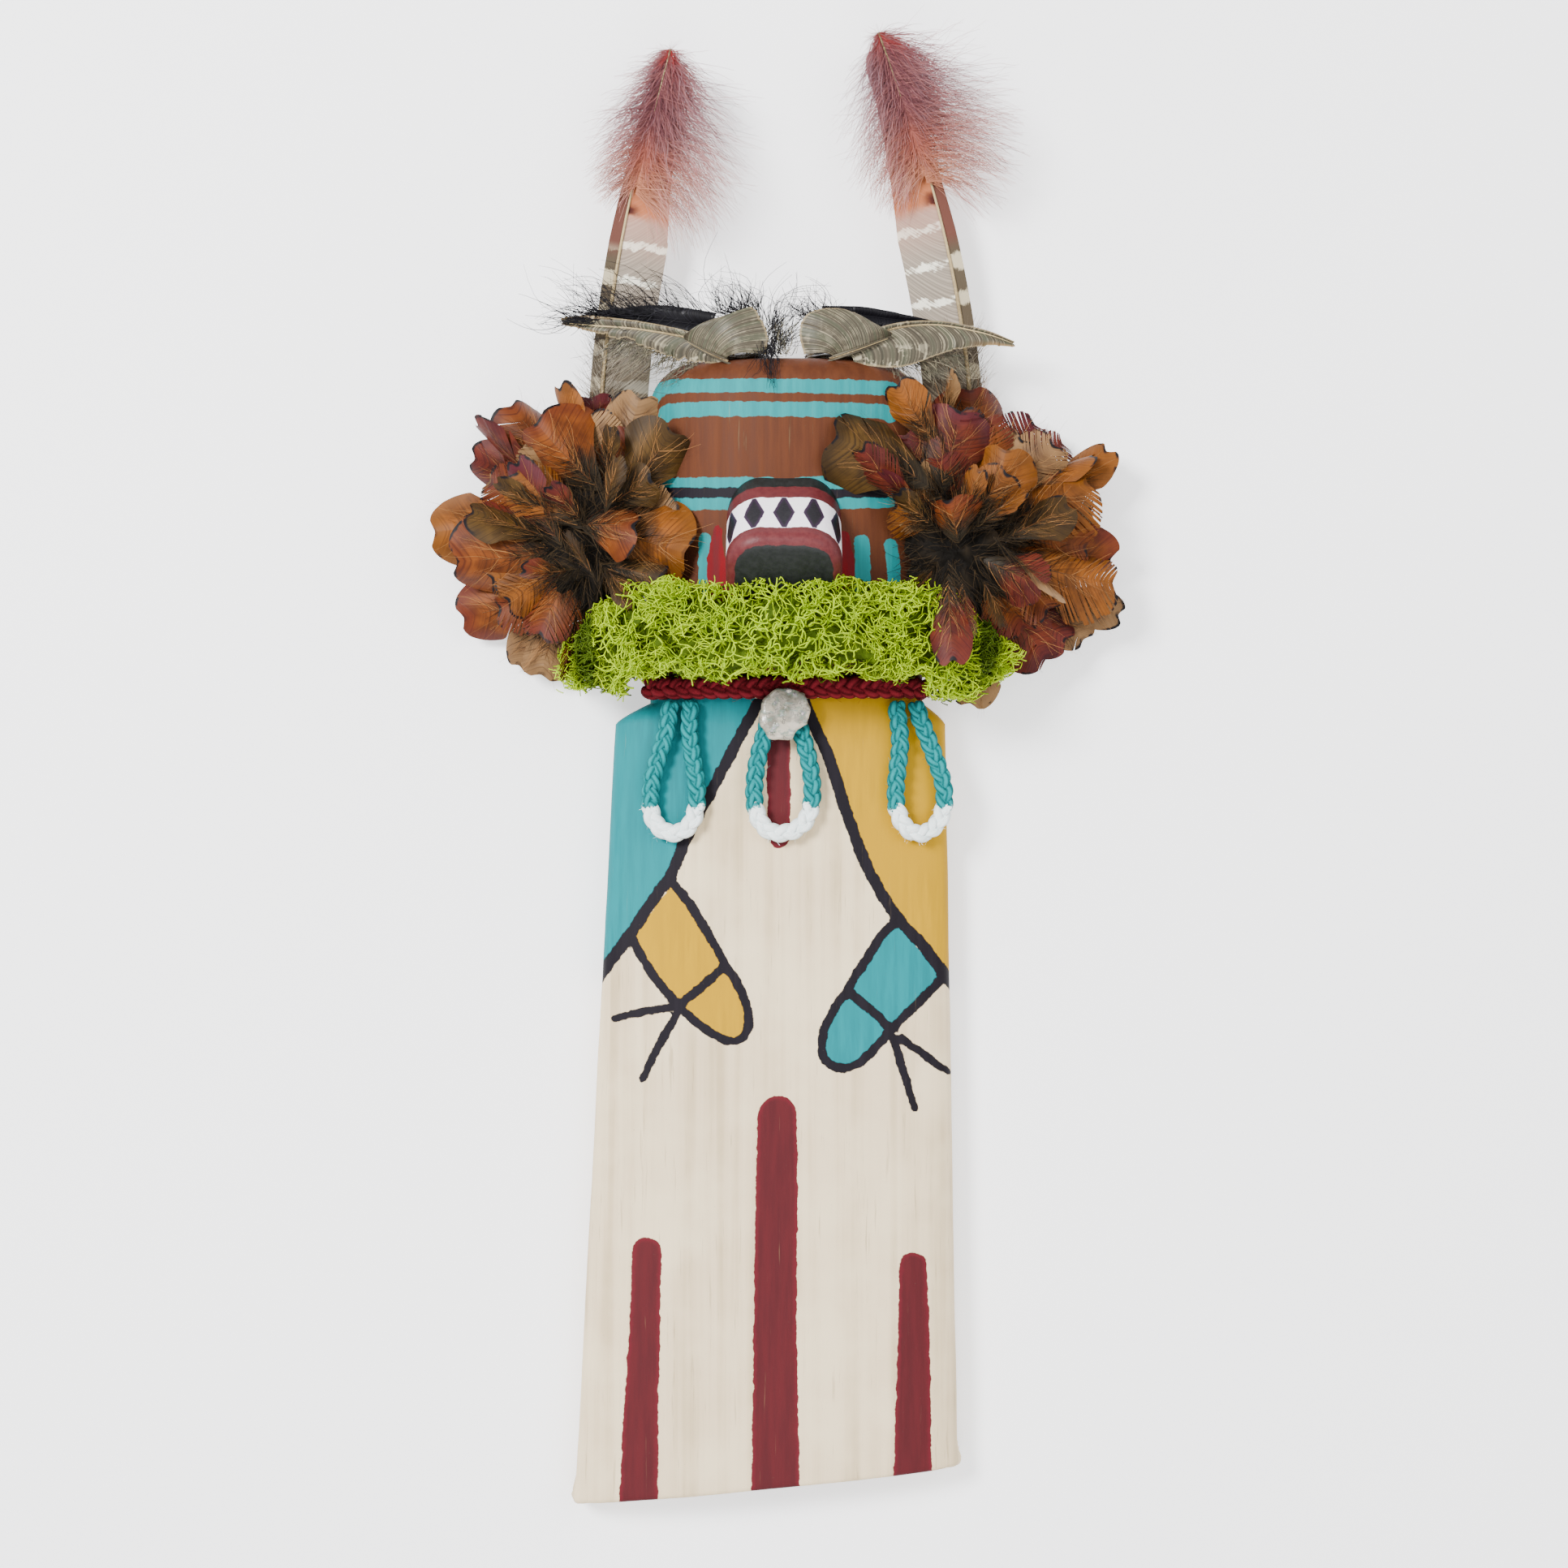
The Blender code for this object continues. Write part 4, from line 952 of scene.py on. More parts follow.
MOSS_HALF_SPAN = 59 * MM
MOSS_REACH = 38 * MM
MOSS_BACK = 11 * MM
MOSS_HEIGHT = 29.5 * MM
MOSS_THICKNESS = 19 * MM
MOSS_ABOVE_NECK = 16.6 * MM
MOSS_ARCH = 4 * MM
MOSS_SWEEP = math.radians(94)
MOSS_TOP = 62 * MM
CORE_STEPS, CORE_SIDES = 150, 44

# How likely a sprig forks after each of its levels, and how many sprigs each third has.
FORK_ODDS = (1.0, 0.92, 0.8, 0.62, 0)
MOSS_THIRDS = (
    ("moss_sprigs_left", -1.0, -0.3, 385),
    ("moss_sprigs_middle", -0.34, 0.34, 370),
    ("moss_sprigs_right", 0.3, 1.0, 385),
)


def moss_frame(share):
    """Middles, outward directions and end factors of the moss's sections."""
    turn = share * MOSS_SWEEP
    arch = MOSS_ARCH * np.maximum(0, 1 - (share / 0.75) ** 2)
    middle = np.stack(
        (
            HEAD_SHIFT + MOSS_HALF_SPAN * np.sin(turn),
            NECK_Y + MOSS_ABOVE_NECK + arch + 1.2 * MM * np.sin(5 * turn),
            MOSS_BACK + MOSS_REACH * np.cos(turn),
        ),
        -1,
    )
    out = unit(np.stack((np.sin(turn) / MOSS_HALF_SPAN, 0 * turn, np.cos(turn) / MOSS_REACH), -1))
    return middle, out, np.sqrt(np.maximum(0.12, 1 - np.abs(share) ** 7))


def moss_skin(share, around, size):
    middle, out, end = moss_frame(share)
    up = np.array((0.0, 1.0, 0.0))
    thick = (MOSS_THICKNESS / 2 * size * end * np.cos(around))[..., None]
    high = (MOSS_HEIGHT / 2 * size * end * np.sin(around))[..., None]
    normal = unit(out * np.cos(around)[..., None] * 1.6 + up * np.sin(around)[..., None])
    return middle + out * thick + up * high, normal


def moss_finish():
    n = Nodes("moss_finish")
    depth, along, seed = n.attribute("vane")
    first, second, _ = n.dice(seed)
    own = n.place()
    cloud = n.noise(own, 90, 2, 0.5)
    tone = n.plus(n.times(first, 0.5), n.times(cloud, 0.6))
    colour = n.mix(n.between(tone, 0.25, 0.85), "6c8a03", "b0d003")
    colour = n.mix(n.times(n.between(second, 0.82, 0.95), 0.55), colour, "61691c")
    # Lighter towards the sprigs' ends, where they stand out of the collar: painted light.
    colour = n.mix(n.between(along, 0.55, 1.0, 0.0, 0.45), colour, "c0dc06")
    # Darker deep inside the collar and behind it: painted shade.
    colour = n.mix(n.between(depth, 0.0, -1.0, 0.0, 0.9), colour, "24380a")
    normal = n.bump(n.noise(own, 2400, 2, 0.6), 0.4, 0.2 * MM)
    deep = (0.6 * MM, 0.8 * MM, 0.2 * MM)
    return n.finish(
        colour, 0.8, normal, Subsurface_Weight=0.12, Subsurface_Radius=deep, Subsurface_Scale=1.0
    )


def sprigs(rng, number, low, high):
    """Lichen that grows out of the collar's skin and forks again and again."""
    share = rng.uniform(low, high, number)
    around = rng.uniform(-math.pi * 0.72, math.pi * 0.72, number)
    base, normal = moss_skin(share, around, rng.uniform(0.62, 0.93, number))
    shoots = [(base, unit(normal + rng.normal(0, 0.6, (number, 3))), np.arange(number))]
    thick = rng.uniform(0.34, 0.5, number) * MM
    batches = []
    for level, odds in enumerate(FORK_ODDS):
        grown = []
        for origin, way, seed in shoots:
            count = len(seed)
            if not count:
                continue
            long = rng.uniform(1.5, 3.2, count)[:, None] * MM
            turn = unit(np.cross(way, rng.normal(0, 1, (count, 3)))) * 0.5
            path = [origin]
            for _ in range(3):
                way = unit(way + turn * 0.45 + rng.normal(0, 0.12, (count, 3)))
                path.append(path[-1] + way * long / 3)
            path = np.stack(path, 1)
            radius = thick[seed][:, None] * (1.0 - 0.12 * level - 0.1 * np.linspace(0, 1, 4)[None])
            batches.append((path, radius, level, seed))
            fork = unit(np.cross(way, rng.normal(0, 1, (count, 3))))
            wide = rng.uniform(0.5, 0.95, count)[:, None]
            for side in (1, -1):
                keep = rng.random(count) < odds
                grown.append((path[keep, -1], unit(way + fork * side * wide)[keep], seed[keep]))
        shoots = grown
    return batches


def out_of_reach(paths):
    """Whether paths end over the neck cord or the cheeks, as the camera sees them, or too high."""
    seen = photo_places(paths[:, -1])
    x, y = seen[:, 0], seen[:, 1]
    low = np.where((x > 770) & (x < 1140), 834.0, 852.0)
    low = np.where(x >= 1140, 866.0 - 0.45 * np.maximum(0, x - 1175), low)
    high = 714 + 1.1 * np.maximum(0, 770 - x) + 0.8 * np.maximum(0, x - 1150)
    wave = 5 * np.sin(x / 17) + 4 * np.sin(x / 7)
    return (y > low + wave) | (y < high + 0.7 * wave) | (paths[:, -1, 2] > MOSS_TOP)


def make_moss(rng):
    finish = moss_finish()
    core = Pile()
    turns = np.arange(CORE_SIDES) * math.tau / CORE_SIDES
    shares, arounds = np.meshgrid(np.linspace(-1, 1, CORE_STEPS), turns, indexing="ij")
    points, normals = moss_skin(shares, arounds, 0.7)
    flat = points.reshape(-1, 3)
    lumps = [noise.noise(Vector(p) * 150) * 1.3 + noise.noise(Vector(p) * 480) * 0.7 for p in flat]
    lumps = np.array(lumps)
    points = flat + normals.reshape(-1, 3) * lumps[:, None] * 1.9 * MM
    none = np.zeros(len(flat))
    # The core is marked as lying deepest, so it takes the darkest painted shade.
    marks = np.stack((np.full(len(flat), -0.95) + lumps * 0.2, none, none), 1)
    cell = np.stack((shares.ravel() * 0.48 + 0.5, arounds.ravel() / math.tau), 1)
    core.add(points, grid_faces(CORE_STEPS, CORE_SIDES, wrap=True), marks, (0, 0, 0), cell)
    core.make("moss_core", [finish], "moss_collar", "moss")
    for name, low, high, number in MOSS_THIRDS:
        pile = Pile()
        for paths, radii, level, seed in sprigs(rng, number, low, high):
            keep = ~out_of_reach(paths)
            paths, radii, seed = paths[keep], radii[keep], seed[keep]
            tube, faces = tubes(paths, radii, 3 if level > 1 else 4, twist=0.4)
            count, steps, sides = tube.shape[:3]
            share = (paths[..., 0] - HEAD_SHIFT) / MOSS_HALF_SPAN
            turn = np.arcsin(np.clip(share, -0.999, 0.999))
            middle, out, _ = moss_frame(turn / MOSS_SWEEP)
            away = np.abs((paths - middle)[..., 1]) / (MOSS_HEIGHT / 2)
            proud = ((paths - middle) * out).sum(-1) / (MOSS_THICKNESS / 2)
            # How deep inside the collar a sprig lies, which darkens it as painted shade; sprigs behind the
            # collar count as deep.
            depth = np.clip((np.sqrt(away**2 + proud**2) - 1.12) * 2.0, -1, 0.2)
            depth = np.where(proud < -0.4, -0.9, depth)
            marks = np.zeros((count, steps, sides, 3))
            marks[..., 0] = depth[..., None]
            marks[..., 1] = ((level + np.linspace(0, 1, steps)[None]) / 5)[..., None]
            marks[..., 2] = (seed * 1.37 + 0.11)[:, None, None]
            u = (seed % 25 + 0.5)[:, None, None] / 25 + np.zeros((count, steps, sides))
            v = (seed // 25 + level / 5 + 0.02)[:, None, None] / 22
            v = v + np.linspace(0, 0.18, steps)[None, :, None] / 22
            cell = np.stack(np.broadcast_arrays(u, v), -1)
            pile.add(tube, faces, marks.reshape(-1, 3), (0, 0, 0), cell.reshape(-1, 2))
        pile.make(name, [finish], None, "moss")


# Feathers


HAIR = 0.22 * MM


class Quill:
    """A feather's middle line, with the directions across it and off its face."""

    def __init__(self, root, along, face, length, bend=0.3, sway=0.0, roll=0.0, twist=0.0):
        root, along = np.asarray(root, float), unit(np.asarray(along, float))
        face = np.asarray(face, float)
        side = unit(np.cross(along, face))
        face = np.cross(side, along)
        side, face = (
            side * math.cos(roll) + face * math.sin(roll),
            face * math.cos(roll) - side * math.sin(roll),
        )
        self.length = length
        self.at = np.linspace(0, 1.15, 60)
        t = self.at[:, None]
        bend = bend if abs(bend) > 1e-3 else 1e-3
        self.line = root + (along * np.sin(bend * t) - face * (1 - np.cos(bend * t))) * length / bend
        self.line = self.line + side * sway * t**2 * length
        self.off = face * np.cos(bend * t) + along * np.sin(bend * t)
        self.side = unit(side - along * 2 * sway * t)
        turn = twist * t
        self.side, self.off = (
            self.side * np.cos(turn) + self.off * np.sin(turn),
            self.off * np.cos(turn) - self.side * np.sin(turn),
        )

    def of(self, table, t):
        return np.stack([np.interp(t, self.at, table[:, k]) for k in range(3)], -1)

    def at_plan(self, t, x, cup, lift=0.0):
        """Places at shares of the length and distances across, with the vane cupped."""
        place = self.of(self.line, t) + self.of(self.side, t) * x[..., None]
        drop = cup * x**2 / (8 * MM) - lift
        return place - self.of(self.off, t) * drop[..., None]


def add_half_vane(pile, quill, side, width, lean, span, lines, segs, rng, cell, seed,
                  cup=0.3, squeeze=0.35, clump=(3, 8), lift=0.25 * MM, ragged=0.03, parted=0.12):
    """One side of a vane: barbs in clumps that part a little at their ends."""
    cuts, total = [0], 0
    while total < lines:
        total += int(rng.integers(*clump))
        cuts.append(min(total, lines))
    roots, groups, centres = [], [], []
    for group, (a, b) in enumerate(zip(cuts, cuts[1:])):
        if b <= a:
            continue
        shares = np.linspace(a / lines, b / lines, b - a + 1)
        roots.append(span[0] + (span[1] - span[0]) * shares)
        groups.append(np.full(len(shares), group))
        centres.append(np.full(len(shares), roots[-1].mean()))
    roots, groups, centres = map(np.concatenate, (roots, groups, centres))
    tight = rng.uniform(0.25, 1.0, len(cuts) + 1)[groups] * squeeze
    raised = rng.normal(0, 1, len(cuts) + 1)[groups] * lift
    short = 1 - ragged * rng.random(len(cuts) + 1)[groups]
    q = np.linspace(0, 1, segs + 1)[None]
    tau = roots[:, None] + (centres - roots)[:, None] * tight[:, None] * q**2
    t = tau + (lean(tau) - tau) * q**1.25
    x = side * width(tau) * q**0.9 * short[:, None]
    rows = len(roots)
    points = quill.at_plan(t, x, cup, raised[:, None] * q**2)
    outline_tau = np.linspace(span[0], 1, 70)
    outline = np.stack((lean(outline_tau) * quill.length, width(outline_tau)), 1)
    plan = np.stack((t * quill.length, np.abs(x)), -1).reshape(-1, 2)
    rim = np.sqrt(((plan[:, None] - outline[None]) ** 2).sum(-1)).min(1) / MM
    marks = np.stack((t.ravel(), rim, side * np.broadcast_to(q, t.shape).ravel()), 1)
    extra = np.stack((np.full(t.size, seed), tau.ravel(), np.zeros(t.size)), 1)
    at = np.arange(rows * (segs + 1)).reshape(rows, segs + 1)
    same = (groups[:-1] == groups[1:]) | (rng.random(len(cuts) + 1)[groups[1:]] > parted)
    low, high = at[:-1][same], at[1:][same]
    faces = np.stack((low[:, :-1], low[:, 1:], high[:, 1:], high[:, :-1]), -1).reshape(-1, 4)
    if side < 0:
        faces = faces[:, ::-1]
    widest = max(width(outline_tau).max(), 1e-6)
    where = cell_at(cell, x / widest * 0.5, t)
    pile.add(points, faces, marks, extra, where)


def cell_at(cell, across, along):
    """A place in one feather's cell of the mesh's UV map."""
    left, low, size, tall = cell
    u = left + size * (0.5 + 0.86 * np.clip(across, -0.56, 0.56))
    v = low + tall * (0.03 + 0.9 * np.clip(along, 0, 1.04))
    return np.stack((u.ravel(), np.broadcast_to(v, np.shape(across)).ravel()), 1)


def add_rachis(pile, quill, radius, span, seed, cell, steps=14, slot=1):
    t = np.linspace(span[0], span[1], steps)
    path = quill.of(quill.line, t) + quill.of(quill.off, t) * radius * 0.45
    tube, faces = tubes(path[None], (radius * np.linspace(1, 0.22, steps))[None], 6)
    marks = np.stack((np.repeat(t, 6), np.full(steps * 6, 9.0), np.zeros(steps * 6)), 1)
    where = cell_at(cell, np.full(steps * 6, 0.55), np.repeat(t, 6))
    pile.add(tube, faces, marks, (seed, 0.5, 2), where, slot)


def add_ribbons(pile, paths, widths, facing, vane, kind, cell, across, along):
    """Ribbons with the numbers that their material reads. Each may differ by path and by step."""
    shape = (*paths.shape[:2], 2)
    flat, faces = ribbons(paths, widths, np.cross(np.gradient(paths, axis=1), facing))
    across, along = np.broadcast_to(across, shape), np.broadcast_to(along, shape)
    marks = [
        np.stack([np.broadcast_to(part, shape) for part in parts], -1).reshape(-1, 3)
        for parts in (vane, kind)
    ]
    pile.add(flat, faces, *marks, cell_at(cell, across, along))


def add_down(pile, quill, span, number, length, rng, cell, seed, width=0.16 * MM,
             lean=0.5, spread=0.4, steps=6, flag=1.0, taper=0.35, bow=0.0, sides=(1.0, -1.0)):
    """Loose downy barbs along the quill, as thin ribbons."""
    t = rng.uniform(span[0], span[1], number)
    side = np.where(np.arange(number) % 2, *sides)
    origin = quill.of(quill.line, t)
    across, off = quill.of(quill.side, t), quill.of(quill.off, t)
    along = unit(quill.of(quill.line, t + 0.02) - quill.of(quill.line, t))
    run = rng.uniform(0.55, 1.0, number) * (length(t) if callable(length) else length)
    way = unit(across * side[:, None] + along * lean + rng.normal(0, spread, (number, 3)))
    path = [origin]
    for _ in range(1, steps):
        way = unit(way + along * (0.12 * lean + bow) + rng.normal(0, 0.13, (number, 3)) * (1, 1, 0.6))
        path.append(path[-1] + way * run[:, None] / (steps - 1))
    path = np.stack(path, 1)
    thin = width * np.linspace(1, taper, steps)[None] * rng.uniform(0.6, 1.2, number)[:, None]
    facing = off[:, None] + rng.normal(0, 0.5, (number, 1, 3))
    barb = rng.random(number)[:, None, None]
    out, t = side[:, None, None] * np.linspace(0, 1, steps)[None, :, None], t[:, None, None]
    add_ribbons(pile, path, thin, facing, (t, 5.0, out), (seed, barb, flag), cell, out * 0.5, t)


def cells(columns, rows):
    return [
        (c / columns, r / rows, 1 / columns, 1 / rows) for r in range(rows) for c in range(columns)
    ]


def quill_finish(name, first, second):
    n = Nodes(name)
    along, _, _ = n.attribute("vane")
    colour = n.mix(n.between(along, 0.1, 0.8), first, second)
    streak = n.noise(n.place(), 1600, 2, 0.5)
    colour = n.mix(n.between(streak, 0.4, 0.8), colour, second)
    return n.finish(colour, 0.35, n.bump(streak, 0.2, 0.1 * MM))


# The ear ruffs


def ruff_finish():
    """Rump feathers: dark down at the base, coppery vanes and a black scalloped rim."""
    n = Nodes("pheasant_finish")
    along, rim, across = n.attribute("vane")
    seed, barb, kind = n.attribute("kind")
    tone = n.math("FRACT", seed)
    first, second, third = n.dice(n.math("FLOOR", seed))
    line = n.noise_line(n.plus(n.times(barb, 6.0), n.times(seed, 3.1)), 8, 3)
    own = n.place()
    cloud = n.noise(own, 150, 2, 0.5)

    def tones(*colours):
        """Picks a colour by the feather's tone: rust, gold, wine, tan or olive."""
        picked = colours[0]
        for step, other in enumerate(colours[1:]):
            picked = n.mix(n.math("GREATER_THAN", tone, 0.1 + 0.2 * step), picked, other)
        return picked

    low = tones("4a220a", "4e2a0b", "38120d", "4c3420", "2c1d0b")
    high = tones("703a12", "794415", "5a2313", "745637", "4b3515")
    vane = n.mix(n.between(cloud, 0.3, 0.7), low, high)
    vane = n.mix(n.between(line, 0.5, 0.8, 0.0, 0.6), vane, high)
    vane = n.mix(n.between(line, 0.52, 0.25, 0.0, 0.8), vane, n.mix(0.35, low, "0d0907"))
    tip = tones("4c1913", "683c10", "44161f", "856542", "241809")
    # Near the rim of the upper vane the colour shifts to a second tint: painted sheen.
    painted_rim_sheen = n.times(n.between(rim, 6.5, 1.5), n.between(along, 0.6, 0.8))
    painted_rim_sheen = n.times(painted_rim_sheen, n.between(second, 0.2, 0.8, 0.35, 1.0))
    vane = n.mix(n.times(painted_rim_sheen, 0.8), vane, tip)
    dark = n.mix(n.between(line, 0.3, 0.8), "15110a", "32281a")
    shift = n.swing(line, 0.16)
    patch = n.swing(cloud, 0.25)
    reach = n.plus(n.plus(along, shift), patch)
    root = n.between(reach, n.plus(0.5, n.times(third, 0.14)), 0.36)
    colour = n.mix(root, vane, dark)
    uneven = n.swing(n.noise(own, 300, 2), 1.2)
    notch = n.times(n.between(n.absolute(across), 0.6, 0.15), 0.45)
    edge = n.minus(n.plus(rim, uneven), notch)
    black = n.times(n.between(edge, 1.15, 0.6), n.between(along, 0.8, 0.88))
    broken = n.plus(n.noise(own, 190, 2), n.swing(first, 0.25))
    notched = n.between(n.absolute(across), 0.5, 0.2, 0.0, 0.45)
    black = n.times(black, n.math("MAXIMUM", n.between(broken, 0.46, 0.54), notched))
    colour = n.mix(black, colour, "0c090d")
    loose = n.mix(n.between(barb, 0.3, 0.9), low, "96683c")
    colour = n.mix(n.between(kind, 0.4, 0.6), colour, loose)
    down = n.mix(n.between(barb, 0.3, 0.95), "0d0a07", "3a2d1c")
    colour = n.mix(n.between(kind, 1.4, 1.6), colour, down)
    rough = n.between(kind, 0.5, 1.5, 0.5, 0.8)
    return n.finish(colour, rough, n.bump(line, 0.6, 0.12 * MM))


def petal_width(widest):
    def width(tau):
        rise = np.clip((tau + 0.03) / 0.53, 0, 1)
        turn = np.clip((tau - 0.5) / 0.5, 0, 1) * math.pi / 2
        return widest * (0.16 + 0.84 * rise**1.2) * np.maximum(0, np.cos(turn)) ** 0.8 + 0.02 * MM

    return width


def petal_lean(tau):
    """Where along the feather a barb ends. Both sides end in a round lobe, with a notch between."""
    late = np.clip((tau - 0.5) / 0.5, 0, 1)
    return 0.22 + 0.92 * np.minimum(tau, 0.5) + 0.33 * np.sin(late * math.pi / 2) - 0.07 * late**6


RUST, GOLD, WINE, TAN, OLIVE = 0.0, 0.2, 0.4, 0.6, 0.8

# Each ruff feather that the photograph shows, from back to front: root and tip in its pixels,
# the heights of both over the floor, width, roll, bend (all lengths in mm) and tone.
LEFT_RUFF = (
    ((700, 730), (563, 762), 16, 10, 21, 0.1, 0.3, RUST),
    ((700, 720), (663, 838), 17, 10, 19, -0.1, 0.3, TAN),
    ((686, 727), (633, 824), 14, 8, 15, 0.3, 0.3, TAN),
    ((713, 600), (623, 495), 16, 12, 21, 0.0, 0.3, RUST),
    ((707, 627), (580, 556), 15, 12, 17, 0.3, 0.3, WINE),
    ((740, 597), (723, 484), 16, 13, 21, 0.0, 0.3, WINE),
    ((687, 637), (527, 659), 18, 13, 24, 0.0, 0.35, GOLD),
    ((707, 627), (574, 527), 19, 17, 15, 0.9, 0.3, WINE),
    ((730, 607), (682, 471), 20, 21, 14, 1.0, 0.2, GOLD),
    ((753, 627), (787, 480), 21, 24, 21, 0.0, 0.3, TAN),
    ((727, 713), (610, 757), 20, 16, 20, 0.0, 0.35, RUST),
    ((760, 633), (830, 524), 29, 36, 23, -0.1, 0.35, OLIVE),
    ((733, 670), (558, 711), 24, 24, 28, 0.1, 0.45, RUST),
    ((700, 673), (576, 622), 26, 28, 16, -0.7, 0.3, OLIVE),
    ((760, 620), (646, 528), 28, 30, 27, 0.1, 0.5, RUST),
    ((733, 693), (822, 711), 33, 37, 16, 0.3, 0.3, OLIVE),
    ((747, 627), (801, 581), 33, 37, 15, 0.2, 0.3, OLIVE),
    ((727, 653), (853, 673), 33, 38, 29, 0.0, 0.35, GOLD),
    ((713, 740), (698, 842), 30, 27, 8, 1.1, 0.2, WINE),
    ((733, 667), (635, 572), 36, 38, 19, -0.2, 0.35, GOLD),
    ((707, 693), (620, 571), 34, 37, 12, 0.8, 0.3, WINE),
    ((703, 648), (787, 646), 34, 43, 19, 0.1, 0.6, RUST),
    ((740, 722), (690, 655), 38, 43, 8, 0.9, 0.2, OLIVE),
    ((724, 650), (672, 598), 37, 43, 8, 0.7, 0.3, WINE),
    ((742, 650), (760, 560), 37, 43, 9, 0.8, 0.3, OLIVE),
    ((735, 690), (790, 742), 37, 41, 10, 0.5, 0.3, OLIVE),
    ((716, 700), (640, 716), 37, 41, 9, 0.8, 0.3, RUST),
    ((690, 640), (604, 600), 36, 39, 8, 0.9, 0.3, OLIVE),
    ((752, 600), (742, 522), 34, 38, 9, 0.9, 0.3, OLIVE),
)
RIGHT_RUFF = (
    ((1197, 603), (1280, 518), 16, 12, 23, 0.0, 0.3, WINE),
    ((1223, 603), (1310, 537), 14, 10, 21, 0.0, 0.3, WINE),
    ((1263, 730), (1343, 787), 16, 12, 16, 0.2, 0.3, TAN),
    ((1263, 723), (1386, 758), 16, 13, 14, -0.2, 0.3, TAN),
    ((1223, 763), (1210, 846), 17, 13, 13, 0.3, 0.3, OLIVE),
    ((1223, 763), (1192, 873), 20, 14, 16, 0.0, 0.3, TAN),
    ((1197, 587), (1199, 474), 18, 16, 25, 0.0, 0.3, RUST),
    ((1243, 617), (1340, 543), 20, 20, 14, 0.6, 0.2, GOLD),
    ((1167, 540), (1159, 452), 22, 24, 11, 0.8, 0.2, TAN),
    ((1263, 643), (1373, 554), 18, 16, 15, 0.3, 0.3, GOLD),
    ((1243, 643), (1351, 630), 22, 18, 20, 0.0, 0.3, TAN),
    ((1217, 677), (1378, 693), 22, 17, 20, -0.1, 0.3, RUST),
    ((1210, 697), (1315, 800), 22, 18, 20, 0.1, 0.3, WINE),
    ((1207, 707), (1294, 818), 26, 20, 24, -0.1, 0.35, WINE),
    ((1210, 677), (1373, 740), 26, 22, 27, 0.0, 0.4, GOLD),
    ((1170, 570), (1094, 474), 30, 34, 14, 0.5, 0.3, GOLD),
    ((1153, 617), (1110, 532), 28, 31, 15, 0.2, 0.3, WINE),
    ((1153, 623), (1190, 502), 30, 33, 28, 0.0, 0.45, WINE),
    ((1210, 663), (1343, 585), 26, 26, 28, 0.1, 0.45, GOLD),
    ((1207, 663), (1253, 553), 28, 32, 22, 0.0, 0.4, GOLD),
    ((1167, 617), (1036, 512), 34, 42, 28, -0.1, 0.35, OLIVE),
    ((1153, 643), (1042, 565), 37, 43, 13, 0.4, 0.3, WINE),
    ((1223, 670), (1323, 627), 34, 38, 16, 0.7, 0.3, OLIVE),
    ((1197, 637), (1243, 580), 36, 42, 15, 0.0, 0.5, GOLD),
    ((1183, 677), (1170, 613), 36, 43, 19, 0.0, 0.6, RUST),
    ((1197, 683), (1290, 724), 36, 40, 18, 0.0, 0.45, WINE),
    ((1223, 660), (1312, 745), 42, 38, 10, 1.0, -0.3, TAN),
    ((1168, 690), (1168, 822), 47, 57, 13, 0.0, 0.3, WINE),
    ((1160, 655), (1098, 610), 38, 44, 8, 0.8, 0.3, OLIVE),
    ((1186, 650), (1196, 570), 38, 43, 8, 0.9, 0.3, GOLD),
    ((1196, 655), (1262, 596), 38, 43, 9, 0.8, 0.3, GOLD),
    ((1200, 700), (1252, 772), 38, 42, 8, 0.9, 0.3, OLIVE),
    ((1182, 704), (1204, 786), 46, 52, 9, 0.6, 0.3, WINE),
    ((1156, 690), (1128, 742), 38, 42, 8, 0.8, 0.3, OLIVE),
    ((1160, 640), (1072, 590), 37, 43, 8, 0.9, 0.3, WINE),
)
RUFF_HEART = {-1: (730, 668), 1: (1176, 684)}
RUFF_MIDDLE = {-1: (-55.8, 176.0, 20.0), 1: (58.0, 176.0, 20.0)}
# Rows of back feathers: how many, first and last direction, rise, lift, length and width.
RUFF_FILL = (
    (9, -75, 95, -6, -5.0, 42, 21),
    (9, -60, 105, 8, 0.0, 40, 21),
    (4, 118, 170, 20, 5.0, 28, 18),
)
FRAYED_SHARE = 0.22
FRAYED = {"clump": (1, 4), "squeeze": 0.5, "ragged": 0.12, "parted": 1.0}
SMOOTH = {"clump": (6, 22), "squeeze": 0.12, "ragged": 0.035, "parted": 0.16}
HEART_SIZE = np.array((16, 19, 14)) * MM
HEART_DOWN = 1000
CORE_SEED = 63.8


